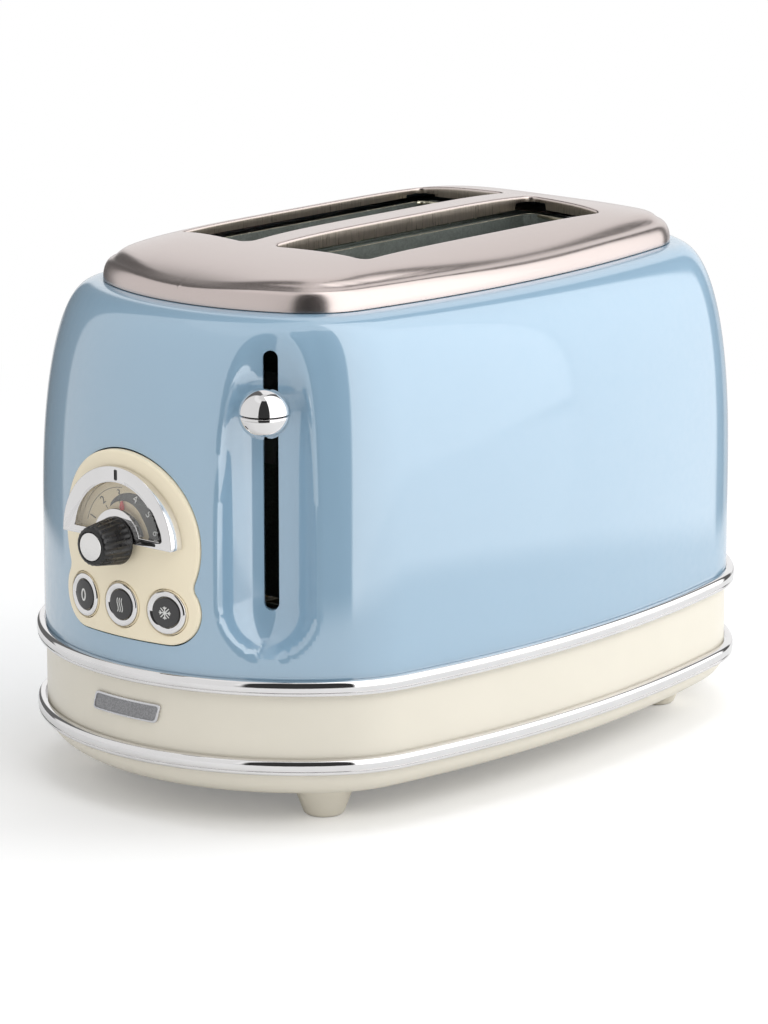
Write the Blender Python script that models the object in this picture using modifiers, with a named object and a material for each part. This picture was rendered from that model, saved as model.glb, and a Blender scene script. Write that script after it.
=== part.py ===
"""Two-slice toaster with a moulded shell, a domed steel top plate and a sprung bread carriage.

Metres, +Z up. X runs along the toaster, the control end faces -X and the feet stand on z = 0.
"""

from dataclasses import dataclass
from math import atan2, cos, pi, radians, sin, sqrt, tan

import bmesh
import bpy
from mathutils import Matrix, Vector

# Clearances and cutters
GAP = 0.0003
OVERRUN = 0.004
WELD = 0.000001
SCREW_MERGE = 0.00001

# Plan outline of the body: how far its ends and sides bulge, and how its corners are rounded
BODY_HALF_LENGTH = 0.150
BODY_HALF_WIDTH = 0.0955
BODY_END_BULGE = 0.0461
BODY_SIDE_BULGE = 0.0120
BODY_CORNER_RADIUS = 0.025

# Plan outline of the top plate, set in from the body by the depth of the shoulder
SHOULDER_END_DEPTH = 0.0294
SHOULDER_SIDE_DEPTH = 0.0258
PLATE_HALF_LENGTH = BODY_HALF_LENGTH - SHOULDER_END_DEPTH
PLATE_HALF_WIDTH = BODY_HALF_WIDTH - SHOULDER_SIDE_DEPTH
PLATE_END_BULGE = 0.0191
PLATE_SIDE_BULGE = 0.0111
PLATE_CORNER_RADIUS = 0.0177

# Heights above the table
PAN_FLOOR_Z = 0.011
PAN_WALL_Z = 0.0224
PAN_TOP_Z = 0.0255
BAND_TOP_Z = 0.0550
SHOULDER_Z = 0.0924
SHELL_TOP_Z = 0.1870
TRIM_LOWER_Z = 0.0255
TRIM_UPPER_Z = 0.0549

# Body shell
SHELL_WALL = 0.0022
SHELL_LIP = 0.0010
SHELL_LEDGE = 0.0050
SHOULDER_POWER = 2.565
SHOULDER_ROW_COUNT = 8
SHOULDER_HIDDEN_ROW_COUNT = 4
LEVER_ANGLE = radians(34)
GROOVE_DEPTH = 0.013
GROOVE_HALF_WIDTH = 0.018
GROOVE_FOOT_Z = 0.084
GROOVE_FOOT_ROW_COUNT = 6
SLOT_WIDTH = 0.0055
SLOT_FOOT_Z = 0.0803
SLOT_HEAD_Z = 0.1758
SLOT_ARC_STEPS = 8

# Base pan, band and trim rings
PAN_WALL = 0.0025
PAN_INSET = 0.0195
PAN_ROW_COUNT = 4
PAN_HIDDEN_ROW_COUNT = 2
BAND_WALL = 0.0024
BAND_SETBACK = 0.0005
TRIM_HEIGHT = 0.0058
TRIM_PROUD = 0.0031
TRIM_ARC_STEPS = 4

# Feet
FOOT_END_SETBACK = 0.0502
FOOT_SIDE_SETBACK = 0.0429
FOOT_X = BODY_HALF_LENGTH - FOOT_END_SETBACK
FOOT_Y = BODY_HALF_WIDTH - FOOT_SIDE_SETBACK
FOOT_TOE_RADIUS = 0.0078
FOOT_ROUND = 0.0012
FOOT_HEAD_RADIUS = 0.0134
FOOT_HEAD_Z = 0.0170
FOOT_STUD_RADIUS = 0.0040
FOOT_STUD_RISE = 0.0012

# Chassis, set in from the body so that each end keeps room for its parts
CHASSIS_END_BAY = 0.067
CHASSIS_SIDE_BAY = 0.0415
CHASSIS_HALF_LENGTH = BODY_HALF_LENGTH - CHASSIS_END_BAY
CHASSIS_HALF_WIDTH = BODY_HALF_WIDTH - CHASSIS_SIDE_BAY
CHASSIS_SHEET = 0.0010
CHASSIS_FLOOR_Z = 0.050
CHASSIS_FLOOR_MARGIN = 0.013
CHASSIS_FLOOR_FRONT_REACH = 0.027
CHASSIS_FLOOR_REAR_REACH = 0.010
CHASSIS_CORNER = 0.005
CRUMB_END_MARGIN = 0.007
CRUMB_SIDE_MARGIN = 0.006
FRAME_Z = 0.1932
FRAME_SHEET = 0.0008
FRAME_MARGIN = 0.004
FRAME_CORNER = 0.014
FRAME_TONGUE_HALF_WIDTH = 0.018
FRAME_TONGUE_REACH = 0.0048
SLEEVE_HEAD_Z = 0.1960
SLEEVE_FOOT_Z = 0.1850
SLEEVE_SETBACK = 0.001
REFLECTOR_RIB_DEPTH = 0.0012
REFLECTOR_RIB_HALF = 0.0030
REFLECTOR_RIB_COUNT = 4

# Vents and posts of the base pan
VENT_X = 0.030
VENT_LENGTH = 0.040
VENT_WIDTH = 0.0034
VENT_CORNER = 0.0010
VENT_PITCH = 0.011
VENT_COUNT = 5
POST_END_MARGIN = 0.003
POST_SIDE_MARGIN = 0.007
POST_X = CHASSIS_HALF_LENGTH + POST_END_MARGIN
POST_Y = CHASSIS_HALF_WIDTH + POST_SIDE_MARGIN
POST_RADIUS = 0.0045
RUNNER_MARGIN = 0.006
RUNNER_THICKNESS = 0.002
RUNNER_END_SETBACK = 0.038

# Top plate
SHEET = 0.0008
ROLL_WIDTH = 0.0045
ROLL_HEIGHT = 0.0052
ROLL_STEPS = 3
ROLL_HIDDEN_STEPS = 1
DOME_RISE = 0.0124
DOME_POWER = 3.4
DOME_SCALE_SHARES = (0.94, 0.86, 0.76, 0.62, 0.42)
DOME_HIDDEN_SHARES = (0.93, 0.80, 0.62, 0.42)
BREAD_SLOT_END_MARGIN = 0.008
BREAD_SLOT_SIDE_MARGIN = 0.008
BREAD_SLOT_HALF_LENGTH = CHASSIS_HALF_LENGTH - BREAD_SLOT_END_MARGIN
BREAD_SLOT_INNER_Y = 0.006
BREAD_SLOT_OUTER_Y = CHASSIS_HALF_WIDTH - BREAD_SLOT_SIDE_MARGIN
BREAD_SLOT_CORNER = 0.004
BREAD_SLOT_END_LEAN = 0.005
SLOT_FLANGE_FOOT_Z = 0.1982
RELIEF_LENGTH = 0.008
RELIEF_HEAD_DROP = 0.0014

# Control panel on the end face
PANEL_PROUD = 0.0008
PANEL_THICKNESS = 0.0025
PANEL_LOBE_RADIUS = 0.034
PANEL_LOBE_Z = 0.1035
PANEL_FOOT_HALF = 0.0205
PANEL_FOOT_RADIUS = 0.0127
PANEL_FOOT_Z = 0.0805
PANEL_WAIST_RADIUS = 0.005
PANEL_POST_Y = 0.0262
PANEL_POST_Z = 0.0955
PANEL_POST_RADIUS = 0.0024
PANEL_ARC_STEPS = (7, 4, 10)

# Browning dial
DIAL_Z = 0.1043
BEZEL_RADIUS = 0.0272
BEZEL_PROUD = 0.0030
BEZEL_FRONT = BODY_HALF_LENGTH + BEZEL_PROUD
BEZEL_CHAMFER = 0.0006
BEZEL_FOOT_DROP = 0.0003
BEZEL_BAR_HEIGHT = 0.0028
WINDOW_RADIUS = 0.0213
WINDOW_INNER_RADIUS = 0.0116
WINDOW_THICKNESS = 0.0008
WINDOW_SETBACK = 0.0008
SCALE_SETBACK = 0.0035
SCALE_FRONT = BODY_HALF_LENGTH - SCALE_SETBACK
SCALE_THICKNESS = 0.0012
SCALE_CHORD_RISE = 0.0007
POINTER_LENGTH = 0.0155
POINTER_ROOT_WIDTH = 0.0026
POINTER_TIP_WIDTH = 0.0008
POINTER_THICKNESS = 0.0006
POINTER_STAND_OFF = 0.0006
POINTER_HUB_RADIUS = 0.0050
SHAFT_RADIUS = 0.0030
KNOB_BASE_RADIUS = 0.0089
KNOB_TIP_RADIUS = 0.0071
KNOB_LENGTH = 0.0131
KNOB_FLUTES = 16
KNOB_FLUTE_DEPTH = 0.0005
KNOB_SHAFT_DEPTH = 0.0050
KNOB_COLLAR = 0.0010
CAP_RADIUS = 0.0055
CAP_THICKNESS = 0.0009
CAP_SINK = 0.0006

# Push buttons
BUTTON_PITCH = 0.0205
BUTTON_Z = 0.0800
BUTTON_RADIUS = 0.0085
BUTTON_PROUD = 0.0021
BUTTON_DEPTH = 0.0085
BUTTON_RING_OUTER = 0.0080
BUTTON_RING_INNER = 0.0058
BUTTON_RING_HEIGHT = 0.0009
BUTTON_INSERT_HEIGHT = 0.0006
BUTTON_INSERT_CROWN = 0.0003
BUTTON_CROWN_SHARE = 2 / 3
BUTTON_STEM_RADIUS = 0.0022
BUTTON_TRAVEL = 0.0020

# Control board behind the panel
BOARD_SETBACK = 0.0160
BOARD_X = BOARD_SETBACK - BODY_HALF_LENGTH
BOARD_THICKNESS = 0.0016
BOARD_HALF_WIDTH = 0.030
BOARD_FOOT_Z = 0.068
BOARD_HEAD_Z = 0.126
POT_RADIUS = 0.0080
SWITCH_HALF = 0.0030
SWITCH_HEIGHT = 0.0024

# Lever knob and carriage
LEVER_Z = 0.1560
LEVER_PROUD = 0.0026
LEVER_BALL_RADIUS = 0.0093
LEVER_BALL_ROW_COUNT = 5
LEVER_ARM_WIDTH = 0.0043
LEVER_ARM_HEIGHT = 0.0070
LEVER_ARM_CORNER = 0.0013
LEVER_ARM_IN_BALL = 0.0040
CARRIAGE_STAND_OFF = 0.0185
CARRIAGE_X = -CHASSIS_HALF_LENGTH - CARRIAGE_STAND_OFF
CARRIAGE_THICKNESS = 0.0012
CARRIAGE_RACK_MARGIN = 0.004
CARRIAGE_LEVER_MARGIN = 0.0062
CARRIAGE_FOOT_Z = 0.128
CARRIAGE_WAIST_Z = 0.150
CARRIAGE_HEAD_Z = 0.162
CARRIAGE_CORNER = 0.003
ROD_STAND_OFF = 0.0053
ROD_X = CARRIAGE_X + ROD_STAND_OFF
ROD_RADIUS = 0.0025
SLEEVE_WALL = 0.0022
RACK_Y = (BREAD_SLOT_INNER_Y + BREAD_SLOT_OUTER_Y) / 2
RACK_Z = 0.132
RACK_THICKNESS = 0.0020
RACK_HEIGHT = 0.0070
RACK_TOOTH_PITCH = 0.012
RACK_TOOTH_DEPTH = 0.0016
RACK_RIB_REACH = 0.0080
RACK_RIB_WIDTH = 0.0030
RACK_RIB_COUNT = 6
LEVER_DOWN = 0.070
LEVER_UP = 0.015
ARMATURE_Y = 0.020
ARMATURE_Z = 0.1385
ARMATURE_LENGTH = 0.009
ARMATURE_WIDTH = 0.012
ARMATURE_THICKNESS = 0.002
MAGNET_COIL_RADIUS = 0.0038

# Return spring on the guide rod side of the carriage
SPRING_Y = -0.012
SPRING_TURNS = 7
SPRING_POINTS = 8
SPRING_RADIUS = 0.0034
SPRING_WIRE = 0.0004

# Heaters
CARD_END_MARGIN = 0.014
CARD_HALF_LENGTH = CHASSIS_HALF_LENGTH - CARD_END_MARGIN
CARD_FOOT_Z = 0.066
CARD_HEAD_Z = 0.180
CARD_TAB_HEIGHT = 0.006
CARD_THICKNESS = 0.0008
HEATER_SIDE_MARGIN = 0.0055
HEATER_OUTER_Y = CHASSIS_HALF_WIDTH - HEATER_SIDE_MARGIN
RIBBON_TURNS = 6
RIBBON_RADIUS = 0.0005
RIBBON_MARGIN = 0.010
RIBBON_CLIMB_SHARE = 0.02

# Bread guides
GUIDE_CLEARANCE = 0.0045
GUIDE_INNER_Y = BREAD_SLOT_INNER_Y + GUIDE_CLEARANCE
GUIDE_OUTER_Y = BREAD_SLOT_OUTER_Y - GUIDE_CLEARANCE
GUIDE_WIRE = 0.0016
GUIDE_FOOT_Z = 0.070
GUIDE_HEAD_Z = 0.180
GUIDE_WIRE_COUNT = 8
GUIDE_END_MARGIN = 0.013
GUIDE_HALF_LENGTH = CHASSIS_HALF_LENGTH - GUIDE_END_MARGIN
GUIDE_TRAVEL = 0.005

# Crumb tray
TRAY_SIDE_MARGIN = 0.004
TRAY_HALF_WIDTH = CHASSIS_HALF_WIDTH - TRAY_SIDE_MARGIN
TRAY_FRONT_MARGIN = 0.004
TRAY_FRONT_HALF_WIDTH = TRAY_HALF_WIDTH + TRAY_FRONT_MARGIN
TRAY_FLOOR_Z = 0.0340
TRAY_DEPTH = 0.0080
TRAY_WALL = 0.0010
TRAY_BRIDGE_LENGTH = 0.0096
TRAY_CORNER = 0.0010
TRAY_FRONT_FOOT_Z = 0.0325
TRAY_FRONT_HEAD_Z = 0.0480
TRAY_BACK_MARGIN = 0.005
TRAY_BACK = CHASSIS_HALF_LENGTH - TRAY_BACK_MARGIN
TRAY_PULL_HALF_WIDTH = 0.022
TRAY_PULL_REACH = 0.0026
TRAY_PULL_THICKNESS = 0.0020

# Badge plate and cord gland
BADGE_HALF_LENGTH = 0.0172
BADGE_HALF_HEIGHT = 0.0036
BADGE_CORNER = 0.0012
BADGE_Z = 0.0412
BADGE_PROUD = 0.0008
BADGE_RIM = 0.0007
BADGE_FIELD_SINK = 0.0003
GLAND_POST_SPACE = 0.018
GLAND_X = POST_X - GLAND_POST_SPACE
GLAND_Z = 0.040
GLAND_RADIUS = 0.0055
GLAND_BORE = 0.0034
GLAND_FLANGE_RADIUS = 0.0078
GLAND_FLANGE = 0.0014
GLAND_DEPTH = 0.009

# Steps round each arc of a plan outline: end, corner and long side
FINE_STEPS = (6, 3, 3)
HIDDEN_STEPS = (4, 2, 2)
ROUND_STEPS = 20
SMALL_ROUND_STEPS = 12
GROOVE_STEPS = 36
BUTTON_STEPS = 16
DIAL_STEPS = 14
DIAL_INNER_STEPS = 9
BEZEL_STEPS = 20
SMOOTH_ANGLE = radians(32)


@dataclass(frozen=True)
class Outline:
    """A closed plan outline of end, corner and side arcs, symmetric about both axes."""

    half_length: float
    half_width: float
    side_radius: float
    end_radius: float
    corner_radius: float

    @classmethod
    def bulged(cls, half_length, half_width, end_bulge, side_bulge, corner_radius):
        """An outline whose arcs stand out by their bulges from the box of their crossings."""
        cross_x, cross_y = half_length - end_bulge, half_width - side_bulge
        return cls(half_length, half_width, (cross_x ** 2 + side_bulge ** 2) / (2 * side_bulge),
                   (cross_y ** 2 + end_bulge ** 2) / (2 * end_bulge), corner_radius)

    def grown(self, distance):
        """The outline moved outwards by a distance, all round."""
        return Outline(*(size + distance for size in (
            self.half_length, self.half_width, self.side_radius, self.end_radius, self.corner_radius)))

    def points(self, steps=FINE_STEPS):
        """The outline's points, anticlockwise from +X."""
        side = Vector((0, self.half_width - self.side_radius))
        end = Vector((self.half_length - self.end_radius, 0))
        corner = circle_crossing(side, self.side_radius - self.corner_radius,
                                 end, self.end_radius - self.corner_radius)
        to_side = atan2(corner.y - side.y, corner.x - side.x)
        to_end = atan2(corner.y - end.y, corner.x - end.x)
        quarter = arc(end, self.end_radius, 0, to_end, steps[0])
        quarter += arc(corner, self.corner_radius, to_end, to_side, steps[1])[1:]
        quarter += arc(side, self.side_radius, to_side, pi / 2, steps[2])[1:]
        half = quarter + [(-x, y) for x, y in reversed(quarter[:-1])]
        return half + [(x, -y) for x, y in reversed(half[1:-1])]


def circle_crossing(first, first_radius, second, second_radius):
    """The crossing of two circles that lies farthest out along +X and +Y."""
    apart = second - first
    along = (first_radius ** 2 - second_radius ** 2 + apart.length_squared) / (2 * apart.length)
    away = sqrt(first_radius ** 2 - along ** 2)
    axis = apart.normalized()
    across = Vector((-axis.y, axis.x))
    crossings = [first + axis * along + across * away * turn for turn in (1, -1)]
    return max(crossings, key=lambda point: point.x + point.y)


def arc(centre, radius, start, stop, steps):
    """Points along an arc, both ends included."""
    return [(centre[0] + radius * cos(start + (stop - start) * step / steps),
             centre[1] + radius * sin(start + (stop - start) * step / steps)) for step in range(steps + 1)]


def circle(centre, radius, steps=ROUND_STEPS):
    """Points round a whole circle."""
    return arc(centre, radius, 0, 2 * pi, steps)[:-1]


def stadium(half_width, low, high, steps):
    """An upright slot outline with round ends."""
    return [*arc((0, high - half_width), half_width, 0, pi, steps),
            *arc((0, low + half_width), half_width, pi, 2 * pi, steps)]


def rounded_box(left, right, low, high, radius, steps=3):
    """A rectangle with rounded corners, anticlockwise from the lower right."""
    corners = ((right - radius, low + radius, -pi / 2), (right - radius, high - radius, 0),
               (left + radius, high - radius, pi / 2), (left + radius, low + radius, pi))
    return [point for x, y, start in corners for point in arc((x, y), radius, start, start + pi / 2, steps)]


def rectangle(left, right, low, high):
    """The four corners of a rectangle."""
    return [(left, low), (right, low), (right, high), (left, high)]


def level(outline_points, z):
    """A plan outline lifted to one height."""
    return [(x, y, z) for x, y in outline_points]


def face_frame(angle, distance=0.0, z=0.0, centre_x=0.0):
    """A frame on the end of the body: its Z points outwards, its Y up and its X sideways.

    The angle is measured round a vertical axis at centre_x, from -X towards -Y.
    """
    out = Vector((-cos(angle), -sin(angle), 0))
    across = Vector((sin(angle), -cos(angle), 0))
    frame = Matrix((across, Vector((0, 0, 1)), out)).transposed().to_4x4()
    frame.translation = Vector((centre_x, 0, z)) + out * distance
    return frame


# Frames for flat pieces that lie in the XZ plane and in the YZ plane
FACING_Y = Matrix(((1, 0, 0, 0), (0, 0, -1, 0), (0, 1, 0, 0), (0, 0, 0, 1)))
FACING_X = Matrix(((0, 0, 1, 0), (1, 0, 0, 0), (0, 1, 0, 0), (0, 0, 0, 1)))


def named_collection(name):
    """A new collection in the scene."""
    made = bpy.data.collections.new(name)
    bpy.context.scene.collection.children.link(made)
    return made


def clear_scene():
    """Removes every object that is in the file."""
    for thing in list(bpy.data.objects):
        bpy.data.objects.remove(thing)


def material(name, colour, roughness, metallic=0.0):
    """A Principled material with one colour."""
    made = bpy.data.materials.new(name)
    made.use_nodes = True
    shader = made.node_tree.nodes["Principled BSDF"]
    shader.inputs["Base Color"].default_value = (*colour, 1)
    shader.inputs["Roughness"].default_value = roughness
    shader.inputs["Metallic"].default_value = metallic
    made.diffuse_color = (*colour, 1)
    return made


def new_object(name, mesh, frame=None):
    """An object in the file, not yet in a collection of pieces."""
    made = bpy.data.objects.new(name, mesh)
    if frame is not None:
        made.matrix_world = frame
    return made


def finish(thing, finish_material, parent=None):
    """Puts a piece in the toaster's collection with its material and smooth shading."""
    PIECES.objects.link(thing)
    thing.data.materials.clear()
    thing.data.materials.append(finish_material)
    thing.data.shade_smooth()
    thing.data.set_sharp_from_angle(angle=SMOOTH_ANGLE)
    if parent is not None:
        thing.parent = parent
        thing.matrix_parent_inverse = parent.matrix_world.inverted()
    return thing


def finish_curve(thing, finish_material):
    """The same for a piece that stays a curve."""
    PIECES.objects.link(thing)
    thing.data.materials.append(finish_material)
    return thing


def cutter(thing):
    """Keeps a helper solid out of the renders."""
    CUTTERS.objects.link(thing)
    thing.hide_render = True
    thing.display_type = "WIRE"
    return thing


def joint_empty(name, location):
    """An empty on a joint's axis, which the moving pieces are parented to."""
    made = bpy.data.objects.new(name, None)
    made.location = location
    made.empty_display_size = OVERRUN
    PIECES.objects.link(made)
    bpy.context.view_layer.update()
    return made


def boolean(thing, other, operation):
    """Cuts, joins or intersects with another solid, which becomes a cutter."""
    if not other.users_collection:
        cutter(other)
    step = thing.modifiers.new(other.name, "BOOLEAN")
    step.operation = operation
    step.object = other
    step.solver = "EXACT"
    return thing


def cut(thing, *others):
    for other in others:
        boolean(thing, other, "DIFFERENCE")
    return thing


def join(thing, *others):
    for other in others:
        boolean(thing, other, "UNION")
    return thing


def common(thing, *others):
    for other in others:
        boolean(thing, other, "INTERSECT")
    return thing


def loft(name, rows, ring=False):
    """A skin over rows of equally many points: capped at both ends, or run back into its first row."""
    shape = bmesh.new()
    built = [[shape.verts.new(point) for point in row] for row in rows]
    pairs = list(zip(built, built[1:]))
    if ring:
        pairs.append((built[-1], built[0]))
    for low, high in pairs:
        for index in range(len(low)):
            after = (index + 1) % len(low)
            shape.faces.new((low[index], low[after], high[after], high[index]))
    if not ring:
        shape.faces.new(list(reversed(built[0])))
        shape.faces.new(built[-1])
    mesh = bpy.data.meshes.new(name)
    shape.to_mesh(mesh)
    shape.free()
    return new_object(name, mesh)


def prism(name, loops, low, high, frame=None):
    """A flat outline with holes, filled as a 2D curve and extruded from low to high."""
    curve = bpy.data.curves.new(name, "CURVE")
    curve.dimensions = "2D"
    curve.fill_mode = "BOTH"
    curve.extrude = (high - low) / 2
    for loop in loops:
        add_spline(curve, level(loop, 0)).use_cyclic_u = True
    lifted = (frame or Matrix()) @ Matrix.Translation((0, 0, (low + high) / 2))
    return solid_from_curve(name, curve, lifted)


def add_spline(curve, path):
    """A straight-sided spline along a path of points."""
    spline = curve.splines.new("POLY")
    spline.points.add(len(path[1:]))
    for point, place in zip(spline.points, path):
        point.co = (*place, 1)
    return spline


def solid_from_curve(name, curve, frame):
    """A welded mesh object in the place of a curve."""
    holder = bpy.data.objects.new(name + "_curve", curve)
    bpy.context.scene.collection.objects.link(holder)
    holder.matrix_world = frame
    graph = bpy.context.evaluated_depsgraph_get()
    mesh = bpy.data.meshes.new_from_object(holder.evaluated_get(graph))
    shape = bmesh.new()
    shape.from_mesh(mesh)
    bmesh.ops.remove_doubles(shape, verts=shape.verts, dist=WELD)
    shape.to_mesh(mesh)
    shape.free()
    made = new_object(name, mesh, holder.matrix_world.copy())
    bpy.data.objects.remove(holder)
    return made


def wire(name, path, radius, resolution=1):
    """A round wire along a path of points, with capped ends."""
    curve = bpy.data.curves.new(name, "CURVE")
    curve.dimensions = "3D"
    curve.bevel_depth = radius
    curve.bevel_resolution = resolution
    curve.use_fill_caps = True
    add_spline(curve, path)
    return bpy.data.objects.new(name, curve)


def turned(name, profile, steps=ROUND_STEPS, frame=None, closed=False):
    """A turned solid from (radius, height) points that run down the outer side."""
    shape = bmesh.new()
    verts = [shape.verts.new((radius, 0, height)) for radius, height in profile]
    for first, second in zip(verts, verts[1:]):
        shape.edges.new((first, second))
    if closed:
        shape.edges.new((verts[-1], verts[0]))
    mesh = bpy.data.meshes.new(name)
    shape.to_mesh(mesh)
    shape.free()
    made = new_object(name, mesh, frame)
    screw = made.modifiers.new("Turn", "SCREW")
    screw.axis = "Z"
    screw.steps = steps
    screw.render_steps = steps
    screw.use_merge_vertices = True
    screw.merge_threshold = SCREW_MERGE
    screw.use_smooth_shade = True
    return made


def round_bar(name, radius, low, high, frame=None, steps=ROUND_STEPS):
    """A plain cylinder between two heights of a frame."""
    return turned(name, [(0, high), (radius, high), (radius, low), (0, low)], steps, frame)


def block(name, low, high):
    """A box between two corners."""
    shape = bmesh.new()
    bmesh.ops.create_cube(shape, size=1)
    size = Vector(high) - Vector(low)
    centre = (Vector(high) + Vector(low)) / 2
    bmesh.ops.transform(shape, matrix=Matrix.Translation(centre) @ Matrix.Diagonal((*size, 1)), verts=shape.verts)
    mesh = bpy.data.meshes.new(name)
    shape.to_mesh(mesh)
    shape.free()
    return new_object(name, mesh)


BODY = Outline.bulged(BODY_HALF_LENGTH, BODY_HALF_WIDTH, BODY_END_BULGE, BODY_SIDE_BULGE, BODY_CORNER_RADIUS)
PLATE = Outline.bulged(PLATE_HALF_LENGTH, PLATE_HALF_WIDTH, PLATE_END_BULGE, PLATE_SIDE_BULGE, PLATE_CORNER_RADIUS)
BAND = BODY.grown(-BAND_SETBACK)
END_CENTRE_X = BODY.end_radius - BODY_HALF_LENGTH


def end_face(y, offset=0.0):
    """How far out along -X the upright end wall lies at one Y."""
    return sqrt((BODY.end_radius + offset) ** 2 - y ** 2) - END_CENTRE_X


def end_wall_slab(name, inner, outer, low, high, outline=BODY):
    """A ring of wall between two offsets of an outline, used to shape curved pieces."""
    rows = [level(outline.grown(outer).points(), low), level(outline.grown(outer).points(), high),
            level(outline.grown(inner).points(), high), level(outline.grown(inner).points(), low)]
    return loft(name, rows, ring=True)


# Body shell

def blend(first, second, share):
    return [(x1 + (x2 - x1) * share, y1 + (y2 - y1) * share) for (x1, y1), (x2, y2) in zip(first, second)]


def shoulder_rows(lower, upper, top_z, steps, count):
    """Rows from the upright wall over the rounded shoulder to the edge of the top opening."""
    first, last = lower.points(steps), upper.points(steps)
    rows = []
    for row in range(count + 1):
        angle = pi / 2 * row / count
        rise = sin(angle) ** (2 / SHOULDER_POWER)
        share = 1 - max(cos(angle), 0) ** (2 / SHOULDER_POWER)
        rows.append(level(blend(first, last, share), SHOULDER_Z + (top_z - SHOULDER_Z) * rise))
    return rows


def groove_radius():
    return (GROOVE_HALF_WIDTH ** 2 + GROOVE_DEPTH ** 2) / (2 * GROOVE_DEPTH)


def groove(name, radius, steps, rows):
    """An upright finger groove with a ball end at its foot, open at the shoulder."""
    foot = [(radius * cos(angle), GROOVE_FOOT_Z + radius * sin(angle))
            for angle in (-pi / 2 * step / rows for step in range(rows + 1))]
    profile = [(0, SHELL_TOP_Z + OVERRUN), (radius, SHELL_TOP_Z + OVERRUN), *foot[:-1],
               (0, GROOVE_FOOT_Z - radius)]
    out = BODY.end_radius - GROOVE_DEPTH + groove_radius()
    place = Matrix.Translation((END_CENTRE_X - out * cos(LEVER_ANGLE), -out * sin(LEVER_ANGLE), 0))
    return turned(name, profile, steps, place)


def lever_slot():
    """The upright slot in the bottom of the groove."""
    outline = stadium(SLOT_WIDTH / 2, SLOT_FOOT_Z, SLOT_HEAD_Z, SLOT_ARC_STEPS)
    low = BODY.end_radius - GROOVE_DEPTH - SHELL_WALL - OVERRUN
    return prism("lever_slot", [outline], low, BODY.end_radius, lever_frame())


def body_shell():
    top = PLATE.grown(SHELL_LIP)
    foot_z = BAND_TOP_Z + GAP
    outside = shoulder_rows(BODY, top, SHELL_TOP_Z, FINE_STEPS, SHOULDER_ROW_COUNT)
    outer = loft("body_shell", [level(BODY.points(), foot_z), *outside])
    inside, inside_top = BODY.grown(-SHELL_WALL), top.grown(-SHELL_WALL)
    ceiling = SHELL_TOP_Z - SHELL_WALL
    mouth = PLATE.grown(-SHELL_LEDGE).points(HIDDEN_STEPS)
    hollow = loft("shell_hollow", [
        level(inside.points(HIDDEN_STEPS), foot_z - OVERRUN),
        *shoulder_rows(inside, inside_top, ceiling, HIDDEN_STEPS, SHOULDER_HIDDEN_ROW_COUNT),
        level(mouth, ceiling), level(mouth, SHELL_TOP_Z + OVERRUN)])
    cut(hollow, groove("groove_wall", groove_radius() + SHELL_WALL, ROUND_STEPS, GROOVE_FOOT_ROW_COUNT // 2))
    cut(outer, hollow, groove("groove", groove_radius(), GROOVE_STEPS, GROOVE_FOOT_ROW_COUNT), lever_slot())
    cut(outer, prism("panel_opening", [panel_outline(GAP)], BODY.end_radius, BODY_HALF_LENGTH + OVERRUN,
                     face_frame(0)))
    return finish(outer, ENAMEL)


# Control panel

def panel_outline(margin=0.0):
    """A round dial lobe over a wider foot for the buttons, with a soft waist between them."""
    lobe, lobe_radius = Vector((0, PANEL_LOBE_Z)), PANEL_LOBE_RADIUS + margin
    foot, foot_radius = Vector((PANEL_FOOT_HALF, PANEL_FOOT_Z)), PANEL_FOOT_RADIUS + margin
    waist_radius = PANEL_WAIST_RADIUS - margin
    waist = circle_crossing(lobe, lobe_radius + waist_radius, foot, foot_radius + waist_radius)
    to_foot = atan2(foot.y - waist.y, foot.x - waist.x)
    to_lobe = atan2(lobe.y - waist.y, lobe.x - waist.x)
    foot_steps, waist_steps, lobe_steps = PANEL_ARC_STEPS
    right = arc(foot, foot_radius, -pi / 2, to_foot + pi, foot_steps)
    stop = to_lobe + 2 * pi if to_lobe < 0 else to_lobe
    right += arc(waist, waist_radius, to_foot + 2 * pi, stop, waist_steps)[1:]
    right += arc(lobe, lobe_radius, to_lobe - pi if to_lobe > 0 else to_lobe + pi, pi / 2, lobe_steps)[1:]
    return right + [(-x, y) for x, y in reversed(right[:-1])]


def dial_sector(inner, outer, chord_z):
    """The part of a ring round the dial's centre that lies above a level chord."""
    rise = chord_z - DIAL_Z
    outer_start = atan2(rise, sqrt(outer ** 2 - rise ** 2))
    inner_start = atan2(rise, sqrt(inner ** 2 - rise ** 2))
    centre = (0, DIAL_Z)
    return [*arc(centre, outer, outer_start, pi - outer_start, DIAL_STEPS),
            *arc(centre, inner, pi - inner_start, inner_start, DIAL_INNER_STEPS)]


def half_disc(radius, chord_z, steps=DIAL_STEPS):
    rise = chord_z - DIAL_Z
    start = atan2(rise, sqrt(radius ** 2 - rise ** 2))
    return arc((0, DIAL_Z), radius, start, pi - start, steps)


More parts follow.
